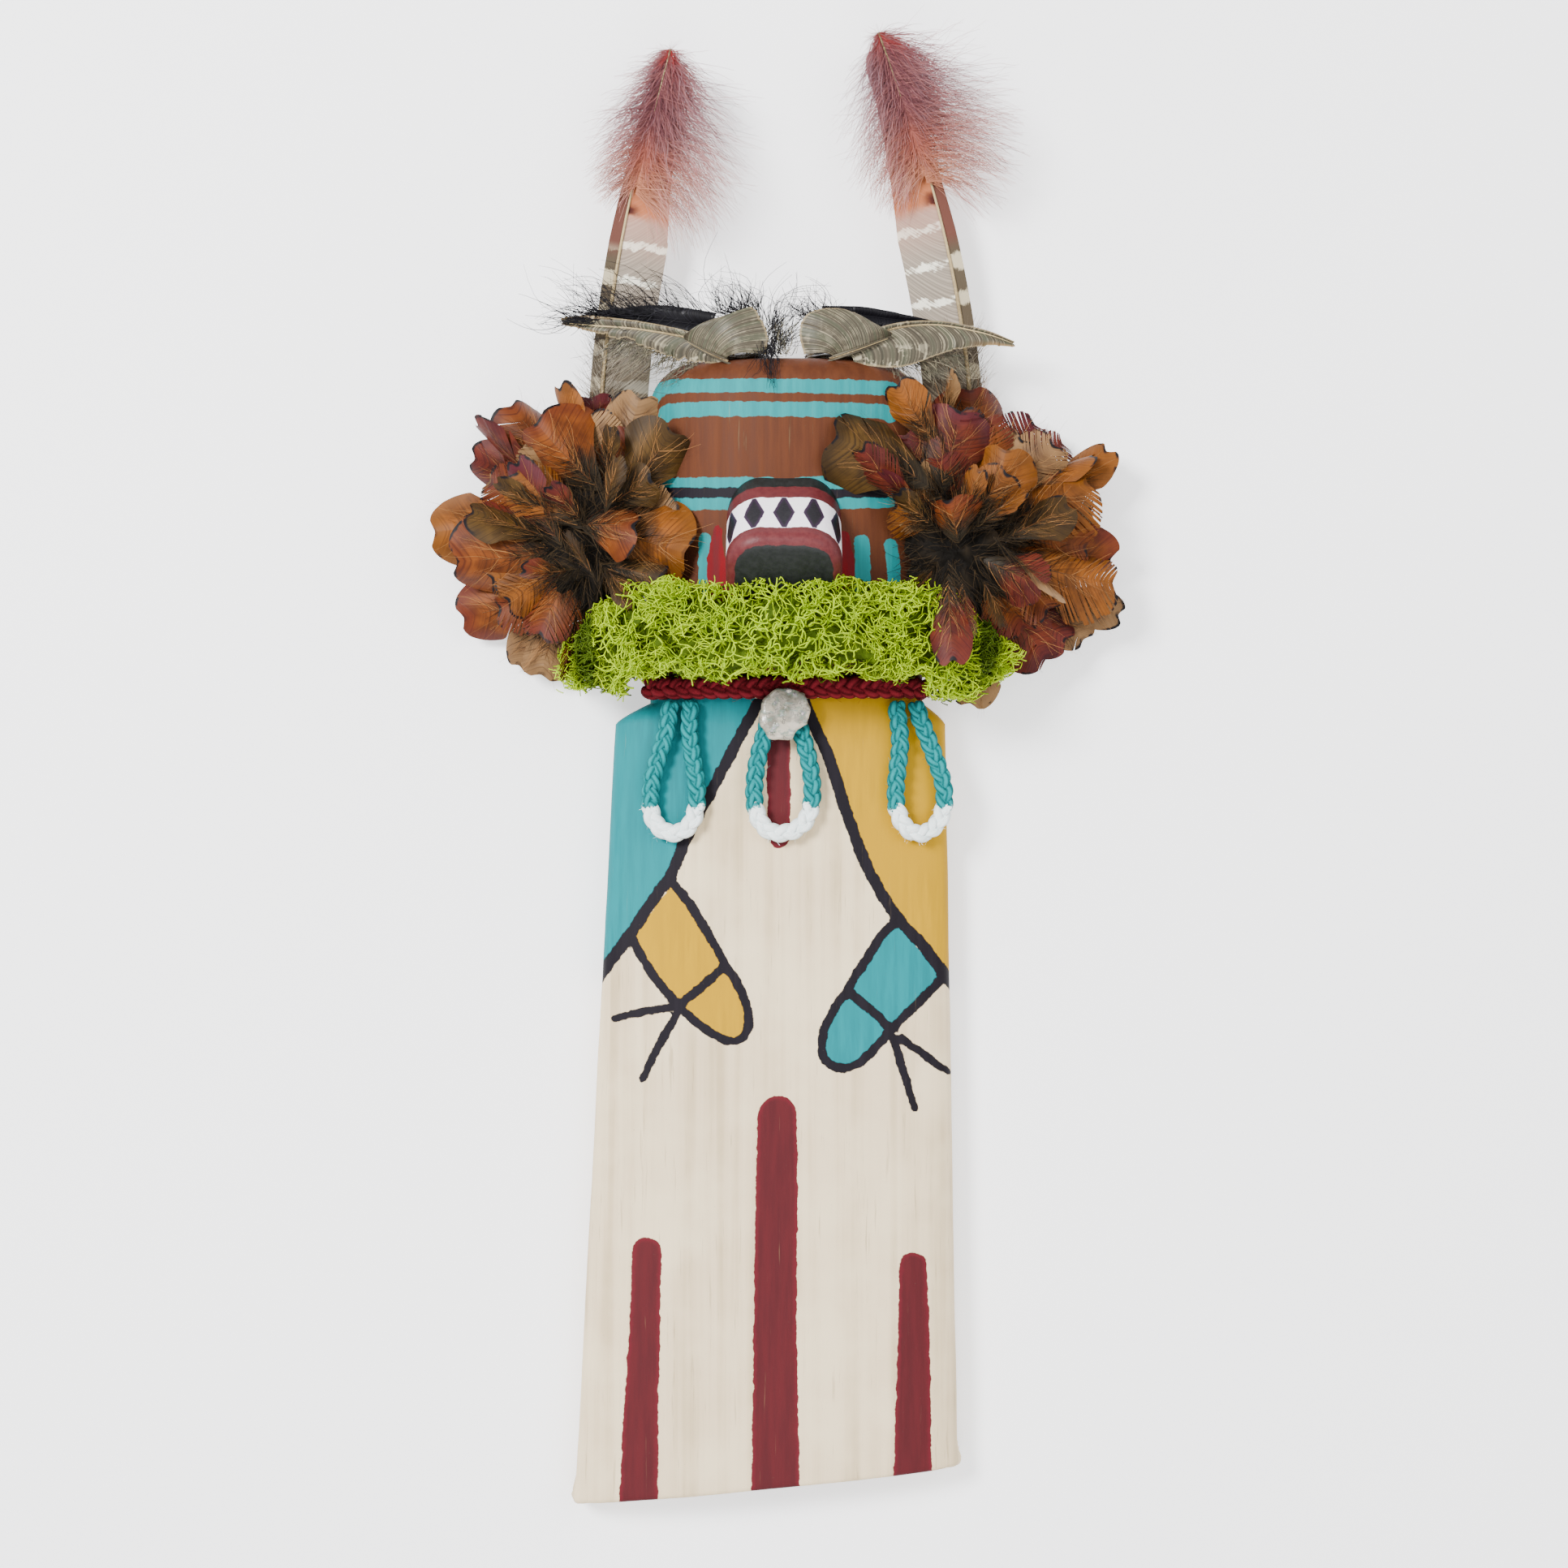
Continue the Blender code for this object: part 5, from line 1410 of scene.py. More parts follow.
def body_feather(pile, rng, root, tip, width, roll, bend, cell, seed, cup, frayed):
    """A rump feather between two places, with loose barbs beside its vane and down at its base."""
    run = tip - root
    across = unit(np.cross(run, (0.0, 0.0, 1.0)))
    face = unit(np.cross(across, run))
    length = float(np.linalg.norm(run)) * (1 + bend**2 / 8)
    aim = run + face * length * bend / 2
    sway, twist = rng.normal(0, 0.08), rng.normal(0, 0.3)
    quill = Quill(root, aim, face, length, bend, sway, roll, twist)
    shape = petal_width(width / 2 * MM)
    barbs, segs, beside, down, looks = (64, 6, 27, 42, FRAYED) if frayed else (34, 7, 54, 84, SMOOTH)
    for side in (1, -1):
        add_half_vane(pile, quill, side, shape, petal_lean, (0.16, 0.93), barbs, segs, rng, cell, seed,
                      cup=cup, lift=0.25 * MM, **looks)
    add_rachis(pile, quill, 0.24 * MM, (0.3, 0.76), seed, cell, 8)
    add_down(pile, quill, (0.2, 0.72), beside, (width * 0.5 + 4) * MM, rng, cell, seed, lean=1.0,
             spread=0.2, width=0.13 * MM, flag=1.0, steps=7, bow=0.06)
    add_down(pile, quill, (0.0, 0.52), down, 11 * MM, rng, cell, seed, lean=1.1, spread=0.32,
             width=0.24 * MM, flag=2.0)


def directions(turn, rise):
    """Directions from turns round the height and rises over the floor."""
    return np.stack((np.cos(turn) * np.cos(rise), np.sin(turn) * np.cos(rise), np.sin(rise)), -1)


def add_core(pile, rng, centre, radii, number, cell):
    """The dark heart of a ruff: a lumpy mound under a burst of down."""
    turns, levels = np.linspace(0, math.tau, 48), np.linspace(-1.5, 1.5707, 22)
    way = directions(*np.meshgrid(turns, levels, indexing="ij")).reshape(-1, 3)
    lumps = np.array([noise.noise(Vector(w) * 3) * 0.5 + noise.noise(Vector(w) * 9) * 0.3 for w in way])
    points = centre + way * radii * (1 + 0.5 * lumps[:, None])
    points[:, 2] = np.maximum(points[:, 2], 1 * MM)
    marks = np.tile((0.05, 9.0, 0.0), (len(way), 1))
    extra = np.stack((np.full(len(way), CORE_SEED), 0.3 + 0.6 * lumps, np.full(len(way), 2.0)), 1)
    where = cell_at(cell, way[:, 0] * 0.5, way[:, 1] * 0.5 + 0.5)
    pile.add(points, grid_faces(48, 22)[:, ::-1], marks, extra, where)
    azimuth = rng.uniform(0, math.tau, number)
    rise = rng.uniform(0.1, 1.5, number)
    out = directions(azimuth, rise)
    origin = centre + out * radii * 0.85
    way = unit(out * (1, 1, 0.15) + rng.normal(0, 0.4, (number, 3)) * (1, 1, 0.5))
    path = [origin]
    for _ in range(5):
        way = unit(way + rng.normal(0, 0.16, (number, 3)) + np.array((0, 0, -0.05)))
        path.append(path[-1] + way * rng.uniform(1.4, 3.4, number)[:, None] * MM)
    path = np.stack(path, 1)
    thin = HAIR * np.linspace(1, 0.35, 6)[None] * rng.uniform(0.6, 1.2, number)[:, None]
    barb, across = rng.random((number, 1, 1)), rng.uniform(-0.5, 0.5, (number, 1, 1))
    add_ribbons(pile, path, thin, (0.0, 0.1, 1.0), (0.1, 5.0, 0.0), (CORE_SEED, barb, 2), cell,
                across, rng.random((number, 1, 1)))


def make_ruff(side, suffix, rng):
    pile = Pile()
    slots = cells(8, 8)
    middle = np.array(RUFF_MIDDLE[side]) * MM
    number = 0
    for count, first, last, rise, lift, length, width in RUFF_FILL:
        for i in range(count):
            direction = math.radians(first + (last - first) * i / (count - 1) + rng.normal(0, 4))
            climb = math.radians(rise + rng.normal(0, 4))
            flat = np.array((side * math.cos(direction), math.sin(direction), 0))
            along = flat * math.cos(climb) + np.array((0, 0, math.sin(climb)))
            root = middle + flat * 4 * MM + np.array((0, 0, lift * MM))
            tip = root + along * (length * rng.uniform(0.85, 1.0) - 4) * MM
            tone = (RUST, GOLD, WINE, RUST, TAN)[int(rng.integers(0, 5))]
            body_feather(pile, rng, root, tip, width, rng.normal(0, 0.25), 0.3, slots[number],
                         number + tone + 0.01, 0.3, frayed=True)
            number += 1
    for start, end, low, high, width, roll, bend, tone in LEFT_RUFF if side < 0 else RIGHT_RUFF:
        root, tip = place_at(*start, low * MM), place_at(*end, high * MM)
        root[2] = max(root[2], 4 * MM)
        cup = 0.45 * rng.uniform(0.7, 1.3)
        body_feather(pile, rng, root, tip, width, roll, bend, slots[number],
                     number + tone + 0.01, cup, rng.random() < FRAYED_SHARE)
        number += 1
    centre = place_at(*RUFF_HEART[side], 20 * MM)
    add_core(pile, rng, centre, HEART_SIZE, HEART_DOWN, slots[63])
    materials = [ruff_finish(), RUFF_QUILL]
    pile.make("pheasant_ruff_" + suffix, materials, "feather_ruff_" + suffix, "ruff_feather")


# The barred wing feathers and their plumes

WING_LENGTHS = {-1: 137 * MM, 1: 142 * MM}
WING_OFFSET = HEAD_WIDTH / 2 + 16.2 * MM
WING_LEANS = {-1: 22 * MM, 1: 29 * MM}
WING_Z = 9 * MM
WING_RISE = 10 * MM
WING_LOW = 184.6 * MM
WING_ROUND = 0.84


class WingQuill(Quill):
    """The leaning line of a wing feather, as in part.py, or of the plume that hangs from its tip."""

    def __init__(self, side, shares=(0.0, 1.1), lift=0.0, hang=0.0):
        self.at = np.linspace(0, 1.1, 60)
        share = shares[0] + (shares[1] - shares[0]) * self.at / 1.1
        x = HEAD_SHIFT + side * (WING_OFFSET - WING_LEANS[side] * np.maximum(share, 0) ** 2.1)
        x = x - side * hang * np.sin(2.0 * self.at)
        y = WING_LOW + WING_LENGTHS[side] * share
        self.line = np.stack((x, y, WING_Z + WING_RISE * share + lift), 1)
        self.length = WING_LENGTHS[side] * abs(shares[1] - shares[0]) / 1.1
        along = unit(np.gradient(self.line, axis=0))
        self.side = unit(np.cross(along, (0.0, 0.0, 1.0)))
        self.off = np.cross(self.side, along)


def wing_finish():
    """Gray vanes with ragged pale bars, and the top dyed peach and dusky rose."""
    n = Nodes("wing_finish")
    along, _, across = n.attribute("vane")
    seed, barb, kind = n.attribute("kind")
    line = n.noise_line(n.plus(n.times(barb, 9.0), seed), 20, 4)
    own = n.place()
    broad = n.between(across, 0.02, -0.02)
    patch = n.noise(own, 170, 3, 0.65)
    ragged = n.swing(n.noise(own, 300, 3, 0.65), 5.0)
    phase = n.minus(n.times(along, 80.0), n.times(seed, 0.68))
    wave = n.math("SINE", n.plus(n.minus(phase, 0.53), n.times(ragged, 0.55)))
    wave = n.plus(wave, n.swing(line, 0.7))
    wave = n.plus(wave, n.swing(patch, 1.6))
    pale = n.times(n.between(wave, 0.66, 1.0), n.between(along, 0.36, 0.42, 0.15, 1.0))
    gray = n.mix(n.between(line, 0.3, 0.75), "7a7064", "9c9081")
    gray = n.mix(
        n.between(along, 0.42, 0.28), gray, n.mix(n.between(line, 0.3, 0.7), "453c31", "766a58")
    )
    colour = n.mix(n.times(pale, 0.9), gray, "f3efdc")
    rosy = n.times(n.between(along, 0.53, 0.66), 0.6)
    colour = n.mix(rosy, colour, "b08272")
    dyed = n.mix(n.between(along, 0.72, 0.78), "a8623f", "76504a")
    dyed = n.mix(n.between(along, 0.82, 0.95), dyed, "564650")
    dyed = n.mix(n.between(line, 0.55, 0.85, 0.0, 0.3), dyed, "bd8c70")
    border = n.plus(along, n.swing(patch, 0.03))
    colour = n.mix(n.between(border, 0.64, 0.672), colour, dyed)
    spot = n.times(n.between(border, 0.655, 0.664), n.between(border, 0.69, 0.67))
    colour = n.mix(n.times(spot, n.between(across, -0.4, -0.05)), colour, "3d1511")
    dark = n.mix(n.between(n.plus(wave, 0.35), 0.4, 0.95), "4a4032", "b3a78c")
    dark = n.mix(n.between(along, 0.55, 0.6), dark, "59352c")
    colour = n.mix(broad, dark, colour)
    down = n.mix(n.between(barb, 0.2, 0.8), "4a4137", "8f8474")
    colour = n.mix(n.between(kind, 0.4, 0.6), colour, down)
    return n.finish(colour, 0.55, n.bump(line, 0.3, 0.1 * MM))


def plume_finish():
    """Dyed marabou: dusky mauve at the top, rose and peach lower down, with pale thin ends."""
    n = Nodes("plume_finish")
    along, _, across = n.attribute("vane")
    _, barb, kind = n.attribute("kind")
    out = n.absolute(across)
    deep = n.mix(n.between(along, 0.0, 0.1), "7c2423", "5a3338")
    deep = n.mix(n.between(barb, 0.4, 0.9), deep, "83504f")
    deep = n.mix(n.between(along, 0.35, 0.62), deep, "8f4f42")
    deep = n.mix(n.between(along, 0.55, 0.8), deep, "a66c52")
    ends = n.mix(n.between(along, 0.2, 0.7), "8d6a70", "b98b7c")
    ends = n.mix(n.between(barb, 0.3, 0.75), ends, "a8706f")
    ends = n.mix(n.between(barb, 0.86, 0.92), ends, "4a343a")
    colour = n.mix(n.between(out, 0.1, 0.8), deep, ends)
    colour = n.mix(
        n.between(kind, 0.4, 0.6), colour, n.mix(n.between(out, 0.4, 1.0, 0.0, 0.5), deep, ends)
    )
    return n.finish(colour, 0.8)


def make_wing(side, suffix, rng):
    quill = WingQuill(side)
    pile = Pile()
    slots = cells(2, 2)

    def closing(tau):
        late = np.clip((tau - WING_ROUND) / (1 - WING_ROUND), 0, 1)
        return np.maximum(0.02, np.cos(late * math.pi / 2)) ** 0.7

    def narrow(tau):
        ready = np.clip((tau - 0.05) / 0.08, 0.12, 1)
        return 3.9 * MM * ready * (1 - 0.35 * np.clip((tau - 0.55) / 0.3, 0, 1)) * closing(tau)

    def broad(tau):
        y = WING_LOW + WING_LENGTHS[side] * tau
        beside = WING_OFFSET - WING_LEANS[side] * np.clip(tau, 0, 1.1) ** 2.1
        beside = beside - HEAD_WIDTH / 2 - 0.5 * MM
        room = np.maximum(beside, 1 * MM) + np.maximum(0, y - HEAD_TOP_Y + 6 * MM) * 1.6
        ready = np.clip((tau - 0.05) / 0.08, 0.12, 1)
        full = 14.4 * MM * (1 - 0.44 * np.clip((tau - 0.52) / 0.31, 0, 1)) * closing(tau)
        return np.minimum(full, room) * ready

    seed = 2.3 if side < 0 else 4.3
    for way, width, cell, slant, rows in (
        (-side, broad, slots[0], 0.085, 260), (side, narrow, slots[1], 0.05, 150)
    ):
        def lean(tau):
            return tau + slant * (1 - np.clip((tau - WING_ROUND) / (1 - WING_ROUND), 0, 1) ** 2)

        add_half_vane(pile, quill, way, width, lean, (0.05, 0.99), rows, 9, rng, cell, seed,
                      cup=0.04, squeeze=0.04, clump=(25, 110), lift=0.1 * MM, ragged=0.02)
    pile.vane = [np.stack((v[:, 0], v[:, 1], v[:, 2] * side), 1) for v in pile.vane]
    add_rachis(pile, quill, 0.85 * MM, (0.0, 0.99), 2.0, slots[2], 50)
    add_down(pile, quill, (0.02, 0.36), 760, 13 * MM, rng, slots[3], 7.7, lean=0.9, spread=0.25)
    materials = [wing_finish(), QUILL]
    pile.make("barred_feather_" + suffix, materials, "wing_feather_" + suffix, "wing_feather")

    plume = Pile()
    hang = WingQuill(side, (1.02, 0.58), 2.6 * MM, 1.5 * MM)

    def right_reach(t):
        return (9 + 30 * np.sin(np.clip(t / 0.9, 0, 1) * math.pi) ** 0.7) * MM

    def left_reach(t):
        return (8 + (18 + 3 * side) * np.sin(np.clip(t / 0.85, 0, 1) * math.pi) ** 0.8) * MM

    both, right, left = (1.0, -1.0), (-1.0, -1.0), (1.0, 1.0)
    for span, count, reach, cell, lean, spread, width, steps, flag, bow, sides in (
        ((0.0, 0.8), 1150, right_reach, 0, 0.15, 0.22, 0.17, 9, 0.0, 0.06, right),
        ((0.0, 0.76), 960, left_reach, 0, 0.3, 0.22, 0.17, 9, 0.0, 0.085, left),
        ((0.0, 0.66), 1150, 11 * MM, 1, 0.9, 0.3, 0.26, 6, 1.0, 0.12, both),
        ((0.02, 0.4), 860, 19 * MM, 1, 0.5, 0.25, 0.24, 7, 1.0, 0.12, right),
        ((0.0, 0.04), 70, 6 * MM, 2, 0.0, 0.7, 0.12, 5, 0.0, 0.0, both),
    ):
        add_down(plume, hang, span, count, reach, rng, slots[cell], cell + 1.0, lean=lean, spread=spread,
                 width=width * MM, steps=steps, flag=flag, bow=bow, sides=sides)
    add_rachis(plume, hang, 0.35 * MM, (0.0, 0.34), 1.0, slots[3], 12)
    plume.make("marabou_plume_" + suffix, [PLUME, QUILL], "down_plume_" + suffix, "down_plume")


# The crest


def crest_finish():
    """Satiny gray feathers, with faint streaks of olive and cream along the barbs."""
    n = Nodes("crest_finish")
    along, rim, across = n.attribute("vane")
    seed, barb, _ = n.attribute("kind")
    fine = n.noise_line(n.plus(n.times(barb, 8.0), seed), 10, 4)
    wide = n.noise_line(n.plus(n.times(barb, 3.0), seed), 4.2, 2)
    own = n.place()
    cloud = n.noise(own, 260, 3, 0.65)
    colour = n.mix(n.between(fine, 0.3, 0.7), "332e25", "544d3f")
    colour = n.mix(n.between(wide, 0.45, 0.65, 0.0, 0.6), colour, "434737")
    streak = n.times(n.between(fine, 0.5, 0.62), n.between(cloud, 0.38, 0.6))
    colour = n.mix(n.times(streak, 0.45), colour, "a79c80")
    mottled = n.times(n.between(cloud, 0.52, 0.6), n.between(along, 0.5, 0.15))
    colour = n.mix(n.times(mottled, n.between(n.absolute(across), 0.42, 0.6, 0.1, 0.6)), colour, "b8ae93")
    brown = n.times(n.between(across, 0.45, 0.9), n.between(along, 0.55, 0.95))
    colour = n.mix(n.times(brown, 0.85), colour, "86673f")
    edge = n.between(n.plus(rim, n.times(cloud, 0.5)), 0.8, 0.5)
    colour = n.mix(n.times(edge, 0.5), colour, "978461")
    return n.finish(colour, 0.4, n.bump(fine, 0.35, 0.2 * MM), Specular_IOR_Level=0.2)


def dark_finish():
    n = Nodes("dark_finish")
    seed, barb, _ = n.attribute("kind")
    line = n.noise_line(n.plus(n.times(barb, 8.0), seed), 12, 3)
    colour = n.mix(n.between(line, 0.35, 0.85), "08070a", "1b1a20")
    return n.finish(colour, 0.4, n.bump(line, 0.4, 0.12 * MM))


def glue_finish():
    n = Nodes("glue_finish")
    cloud = n.noise(n.place(), 420, 3, 0.6)
    colour = n.mix(n.between(cloud, 0.35, 0.7), "18120c", "3b3121")
    return n.finish(colour, 0.25, n.bump(cloud, 0.5, 0.5 * MM), Specular_IOR_Level=0.6)


def add_ruled_vane(pile, root_line, edge_line, rows, segs, rng, cell, seed,
                   bow, hook, fray, sign=1.0):
    """A vane between a rachis and an outline, both given as (pixel, pixel, height in mm)."""
    share = np.linspace(0, 1, rows)
    lines = []
    for line in (root_line, edge_line):
        places = np.array([place_at(x, y, z * MM) for x, y, z in line])
        fine = curve_through(places, 10)
        at = np.linspace(0, 1, len(fine))
        lines.append(np.stack([np.interp(share, at, fine[:, k]) for k in range(3)], 1))
    roots, ends = lines
    along = unit(np.gradient(roots, axis=0))
    group = np.cumsum(rng.random(rows) < 0.08)
    cut = rng.uniform(0, fray, group.max() + 1)[group] + rng.uniform(0, fray / 3, rows)
    lift = rng.normal(0, 0.25 * MM, group.max() + 1)[group]
    q = np.linspace(0, 1, segs + 1)[None, :, None]
    reach = (ends - roots)[:, None] * (1 - cut)[:, None, None]
    wide = np.linalg.norm(reach, axis=-1, keepdims=True)
    points = roots[:, None] + reach * q + along[:, None] * wide * hook * q * (1 - q) * 4
    rise = np.sin(q * math.pi * 0.8) * bow * MM + q**2 * lift[:, None, None]
    points = points + np.array((0, 0, 1.0)) * rise
    t = np.broadcast_to(share[:, None], (rows, segs + 1))
    rim = wide[..., 0] / MM * (1 - q[..., 0])
    marks = np.stack((t.ravel(), rim.ravel(), (sign * q[..., 0] + 0 * t).ravel()), 1)
    extra = np.stack((np.full(t.size, seed), t.ravel(), np.zeros(t.size)), 1)
    faces = grid_faces(rows, segs + 1)
    pile.add(points, faces, marks, extra, cell_at(cell, q[..., 0] - 0.5 + 0 * t, t))


def add_hairs(pile, rng, line, reach, number, height, cell):
    """Loose hairs that start along a line and reach outwards, all in the photograph's pixels."""
    (first, last), (far, spread) = np.array(line, float), np.array(reach, float)
    share = rng.random((number, 1))
    start = first + (last - first) * share + rng.normal(0, 2, (number, 2))
    end = start + far * rng.uniform(0.3, 1.0, (number, 1)) + rng.normal(0, 1, (number, 2)) * spread * 0.6
    a = np.array([place_at(x, y, height * MM) for x, y in start])
    heights = height + rng.uniform(-1, 3, number)
    b = np.array([place_at(x, y, z * MM) for (x, y), z in zip(end, heights)])
    step = np.linspace(0, 1, 8)[None, :, None]
    bulge = np.cross(b - a, (0, 0, 1.0))[:, None] * rng.normal(0, 0.2, (number, 1, 1))
    bulge = bulge * np.sin(step * math.pi)
    path = a[:, None] + (b - a)[:, None] * step + bulge + wander(rng, number, 8, 0.5 * MM)
    thin = HAIR * np.linspace(1, 0.4, 8)[None] * rng.uniform(0.6, 1.2, (number, 1))
    barb, place = rng.random((number, 1, 1)), rng.random((number, 1, 1))
    add_ribbons(pile, path, thin, (0.0, 0.2, 1.0), (0.5, 5.0, 0.0), (0, barb, 0), cell,
                share[:, :, None] - 0.5, place)


def add_stem(pile, line, radius, cell, slot=1):
    """A rachis through some (pixel, pixel, height in mm) places."""
    path = curve_through(np.array([place_at(x, y, z * MM) for x, y, z in line]), 8)
    tube, faces = tubes(path[None], (radius * np.linspace(1, 0.3, len(path)))[None], 6)
    t = np.repeat(np.linspace(0, 1, len(path)), 6)
    marks = np.stack((t, np.full(len(t), 9.0), np.zeros(len(t))), 1)
    pile.add(tube, faces, marks, (1.0, 0.5, 2), cell_at(cell, np.full(len(t), 0.55), t), slot)


# The crest's vanes as (pixel, pixel, height in mm), from root to tip: a rachis, then its edges.
GRAY_VANES = {
    -1: (
        ((905, 436, 29.5), (860, 419, 29.6), (790, 406, 28.6), (730, 401, 27), (694, 398, 25.5)),
        ((893, 426, 29.5), (850, 409, 29.6), (790, 396, 28.6), (725, 389, 27), (692, 392, 25.5)),
        ((892, 452, 28.6), (838, 447, 27.5), (778, 424, 27.0), (725, 410, 26.5), (692, 401, 25.5)),
    ),
    1: (
        ((1042, 437, 29.5), (1090, 408, 29.8), (1150, 400, 29.0), (1210, 410, 27.5), (1248, 423, 25.5)),
        ((1040, 430, 29.5), (1088, 402, 29.8), (1152, 395, 29.0), (1213, 406, 27.5), (1250, 421, 25.5)),
        ((1052, 449, 29.0), (1110, 453, 29.0), (1168, 434, 28.5), (1215, 427, 27.0), (1250, 428, 25.5)),
    ),
}
DARK_VANES = {
    -1: (
        ((890, 404, 27), (830, 396, 26.5), (770, 391, 25), (722, 388, 23.5)),
        ((884, 386, 27), (820, 376, 26.5), (766, 379, 25), (718, 387, 23.5)),
        ((888, 414, 27), (822, 410, 26.5), (766, 396, 25), (719, 389, 23.5)),
    ),
    1: (
        ((1008, 386, 27), (1060, 389, 26.5), (1105, 394, 25), (1150, 397, 23.5)),
        ((1012, 377, 27), (1062, 378, 26.5), (1108, 386, 25), (1152, 396, 23.5)),
        ((1005, 394, 27), (1058, 404, 26.5), (1100, 403, 25), (1150, 399, 23.5)),
    ),
}
CUT_VANES = {
    -1: (
        ((893, 442, 32), (868, 431, 32.5), (843, 418, 31)),
        ((944, 438, 32), (948, 420, 33), (941, 398, 33.5), (930, 379, 33), (903, 386, 33),
         (870, 397, 32), (843, 414, 31)),
    ),
    1: (
        ((1026, 439, 32), (1062, 427, 32.5), (1098, 414, 31)),
        ((990, 438, 32), (984, 410, 33), (994, 388, 33.5), (1022, 380, 33), (1048, 384, 33),
         (1074, 398, 32), (1099, 411, 31)),
    ),
}

# Loose hairs: a line, how far they reach from it and how much that varies, number and height.
GRAY_HAIRS = {
    -1: ((((862, 449), (760, 418)), ((-38, 26), (20, 14)), 190, 27),),
    1: (
        (((918, 436), (976, 436)), ((2, -40), (22, 12)), 90, 30),
        (((1090, 449), (1180, 436)), ((34, 30), (20, 14)), 120, 26),
    ),
}
DARK_HAIRS = {
    -1: (
        (((868, 384), (725, 384)), ((-72, -38), (30, 22)), 170, 27),
        (((745, 392), (700, 396)), ((-50, -12), (20, 18)), 70, 28),
    ),
    1: ((((985, 392), (1030, 382)), ((-24, -26), (24, 14)), 70, 29),),
}
TOP_HAIRS = (
    (((925, 398), (948, 430)), ((-38, -64), (32, 18)), 95, 30),
    (((950, 400), (965, 430)), ((36, -60), (28, 20)), 85, 30),
    (((885, 388), (935, 380)), ((-14, -40), (32, 16)), 95, 30),
    (((900, 392), (903, 396)), ((-12, -104), (3, 5)), 3, 30),
)
# Tufts of curled hairs: both ends in pixels, their heights in mm, number, spread and curl.
TUFTS = (
    ((945, 425), (953, 483), 36.5, 40.5, 26, 1.0, 1.0),
    ((942, 430), (926, 468), 36.5, 40.5, 8, 1.2, 1.2),
    ((955, 430), (960, 386), 30, 33, 26, 3.4, 1.2),
    ((948, 440), (945, 400), 34, 35, 22, 2.8, 1.0),
)


def make_crest_side(side, suffix, rng):
    slots = cells(2, 2)
    gray = Pile()
    stem, *edges = GRAY_VANES[side]
    for number, edge in enumerate(edges):
        fray = 0.3 if side < 0 and number else 0.05
        add_ruled_vane(gray, stem, edge, 170, 7, rng, slots[number], 3.3 + side,
                       bow=0.9 - number * 0.2, hook=0.25, fray=fray)
    add_stem(gray, stem, 0.5 * MM, slots[2])
    for line, reach, count, height in GRAY_HAIRS[side]:
        add_hairs(gray, rng, line, reach, count, height, slots[3])
    node = "crest_gray_feather_" + suffix
    gray.make("gray_crest_feather_" + suffix, [CREST, QUILL], node, "crest_feather")

    dark = Pile()
    stem, *edges = DARK_VANES[side]
    for number, edge in enumerate(edges):
        add_ruled_vane(dark, stem, edge, 140, 6, rng, slots[number], 5.3 + side,
                       bow=0.8, hook=0.3, fray=0.03)
    add_stem(dark, stem, 0.4 * MM, slots[2], slot=0)
    for line, reach, count, height in DARK_HAIRS[side]:
        add_hairs(dark, rng, line, reach, count, height, slots[3])
    dark.make("black_crest_feather_" + suffix, [DARK], "crest_dark_feather_" + suffix, "dark_feather")

    cut = Pile()
    stem, edge = CUT_VANES[side]
    add_ruled_vane(cut, stem, edge, 150, 12, rng, slots[0], 8.6 + side,
                   bow=3.2, hook=0.16, fray=0.04, sign=0.4)
    for number, shift in enumerate(((0, 0, 0.6), (4 * -side, 3, 0.2), (8 * -side, 7, -0.3))):
        beside = [np.add(place, shift) for place in stem]
        add_stem(cut, beside, 0.42 * MM, slots[1], slot=number % 2)
    node = "crest_cut_feather_" + suffix
    cut.make("cut_crest_feather_" + suffix, [CREST, QUILL], node, "crest_feather")


def make_glue(side, suffix):
    place = np.array((side * 14 * MM + HEAD_SHIFT, HEAD_TOP_Y + 0.4 * MM, 23.5 * MM))
    rings = []
    sides, levels = 40, 22
    for i in range(levels):
        polar = math.pi * (i + 0.5) / levels
        for k in range(sides):
            turn = math.tau * k / sides
            across, deep = math.cos(turn) * math.sin(polar), math.sin(turn) * math.sin(polar)
            way = Vector((across, math.cos(polar), deep))
            lump = 1 + 0.22 * noise.noise(way * 2.1 + Vector((side * 3, 0, 0)))
            lump = lump + 0.08 * noise.noise(way * 6)
            rings.append(place + np.array((way.x * 9.4, way.y * 2.2, way.z * 6.6)) * lump * MM)
    faces = grid_faces(levels, sides, wrap=True)
    points, faces = close_ends(np.array(rings), faces, sides, 0, (levels - 1) * sides)
    made = mesh_object("glue_drop_" + suffix, points, faces, {}, None, [GLUE])
    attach(made, "root")
    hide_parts("crest_glue_" + suffix)


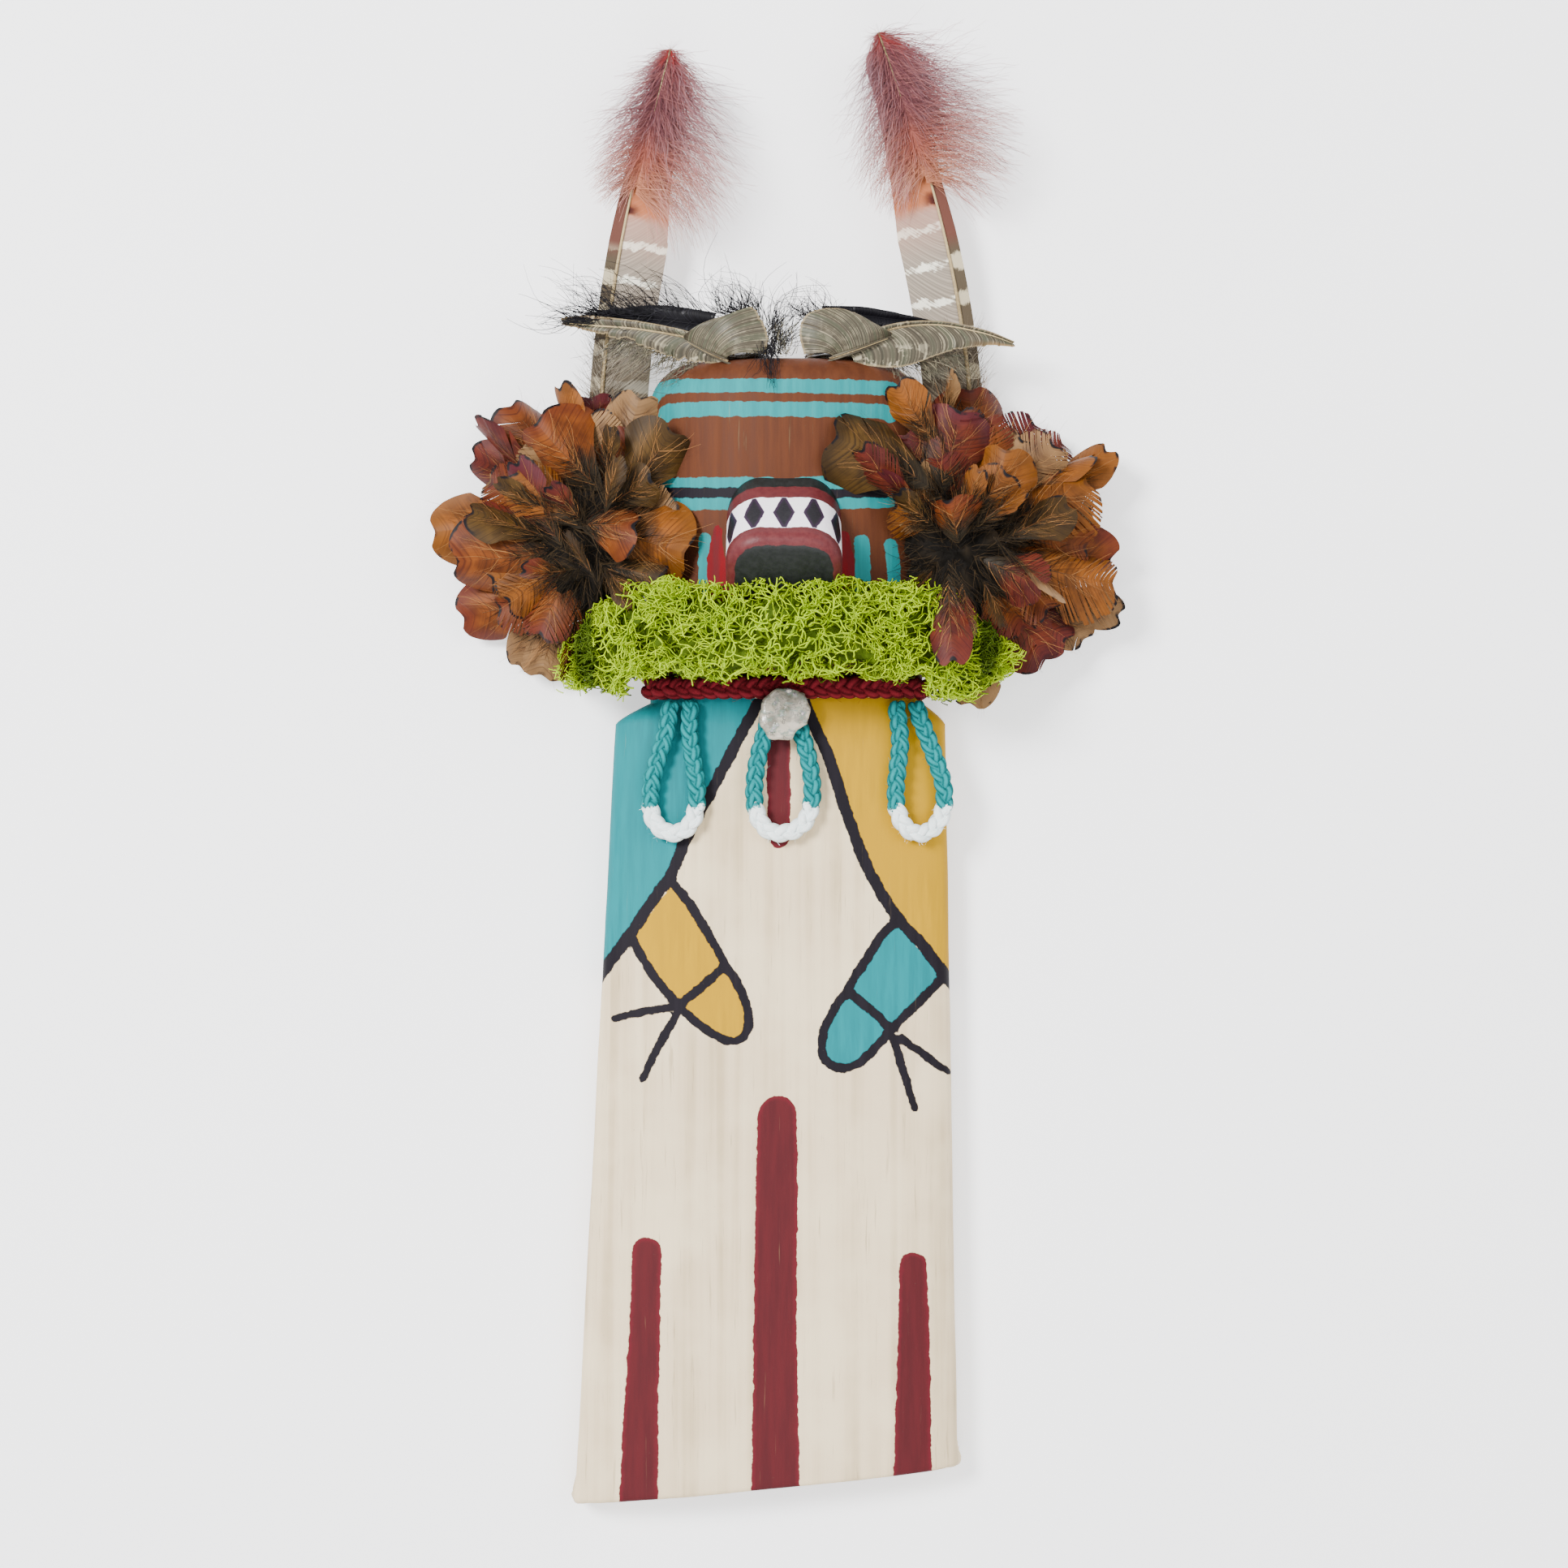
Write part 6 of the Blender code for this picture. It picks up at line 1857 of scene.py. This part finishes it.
def make_wisps(rng):
    """The loose black hairs between the crest feathers and the strands over the forehead."""
    pile = Pile()
    slots = cells(2, 2)
    for line, reach, count, height in TOP_HAIRS:
        add_hairs(pile, rng, line, reach, count, height, slots[0])
    for number, (start, end, low, high, count, spread, curl) in enumerate(TUFTS):
        a, b = place_at(*start, low * MM), place_at(*end, high * MM)
        steps = 10
        origin = a + rng.normal(0, 1.8 * MM, (count, 3)) * (1.2, 0.6, 0.5)
        goal = b + rng.normal(0, spread * MM, (count, 3)) * (1, 0.8, 0.15)
        goal = origin + (goal - origin) * rng.uniform(0.4, 1.0, (count, 1))
        share = np.linspace(0, 1, steps)[None, :, None]
        bulge = rng.normal(0, curl * MM, (count, 1, 3)) * np.sin(share * math.pi)
        bulge = bulge + rng.normal(0, curl * 0.4 * MM, (count, 1, 3)) * np.sin(share * math.tau)
        path = origin[:, None] + (goal - origin)[:, None] * share + bulge * (1, 1, 0.2)
        path = path + wander(rng, count, steps, 1.6 * MM) * (1, 1, 0.3)
        path[..., 2] = np.clip(path[..., 2], 24 * MM, 44 * MM)
        wide = 0.2 * MM * np.linspace(1, 0.45, steps)[None]
        barb = rng.random((count, 1, 1))
        add_ribbons(pile, path, wide, (0.0, 0.3, 1.0), (share, 0, 0), (number, barb, 0), slots[number],
                    barb - 0.5, share)
    pile.make("black_wisps", [DARK], None, "dark_feather")


FLOOR_HALF = 3.0
FLOOR_Z = -0.2 * MM
SKY = 0.95
# Lights: name, place, energy and size.
LIGHTS = (
    ("key_light", (-0.75, 0.58, 1.3), 48.0, 0.42, 0.42),
    ("fill_light", (0.85, 0.45, 1.3), 12.0, 0.9, 0.9),
    ("low_light", (0.1, -0.95, 1.3), 14.0, 1.0, 0.7),
)


def stage():
    """A pale floor, soft light from all round and a camera that looks straight down."""
    data = bpy.data.meshes.new("studio_floor")
    corners = [(x * FLOOR_HALF, y * FLOOR_HALF, 0) for x, y in ((-1, -1), (1, -1), (1, 1), (-1, 1))]
    data.from_pydata(corners, [], [(0, 1, 2, 3)])
    n = Nodes("paper")
    tone = n.noise(n.place(), 2.0, 2, 0.4)
    paper = n.mix(tone, "ececee", "f1f1f3")
    n.link(n.shader.inputs["Emission Color"], (1.0, 1.0, 1.0))
    data.materials.append(n.finish(paper, 0.75, None, Emission_Strength=0.85))
    floor = bpy.data.objects.new("studio_floor", data)
    floor.location.z = FLOOR_Z
    bpy.context.scene.collection.objects.link(floor)
    for name, place, energy, wide, tall in LIGHTS:
        light = bpy.data.lights.new(name, "AREA")
        light.shape, light.size, light.size_y, light.energy = "RECTANGLE", wide, tall, energy
        lamp = bpy.data.objects.new(name, light)
        lamp.location = place
        aim = Vector((0, 0.08, 0)) - Vector(place)
        lamp.rotation_euler = aim.to_track_quat("-Z", "Y").to_euler()
        bpy.context.scene.collection.objects.link(lamp)
    world = bpy.data.worlds.new("studio")
    world.use_nodes = True
    sky = world.node_tree.nodes["Background"]
    sky.inputs[0].default_value = (1.0, 1.0, 1.0, 1)
    sky.inputs[1].default_value = SKY
    bpy.context.scene.world = world
    lens = bpy.data.cameras.new("camera")
    lens.sensor_fit = "HORIZONTAL"
    lens.angle = 2 * math.atan(HALF_PICTURE * PIXEL / (EYE.z - FOCUS_Z))
    camera = bpy.data.objects.new("camera", lens)
    camera.location = EYE
    bpy.context.scene.collection.objects.link(camera)
    bpy.context.scene.camera = camera


QUILL = quill_finish("quill_finish", "55452f", "b09c74")
RUFF_QUILL = quill_finish("ruff_quill_finish", "23160c", "5f3c20")
PLUME = plume_finish()
CREST = crest_finish()
DARK = dark_finish()
GLUE = glue_finish()

stage()
make_loops(np.random.default_rng(11))
make_board()
make_snout()
make_neck_cord(np.random.default_rng(12))
make_chip()
make_moss(np.random.default_rng(13))
for way, label in ((-1, "left"), (1, "right")):
    make_ruff(way, label, np.random.default_rng(20 + way))
    make_wing(way, label, np.random.default_rng(30 + way))
    make_crest_side(way, label, np.random.default_rng(40 + way))
    make_glue(way, label)
make_wisps(np.random.default_rng(50))
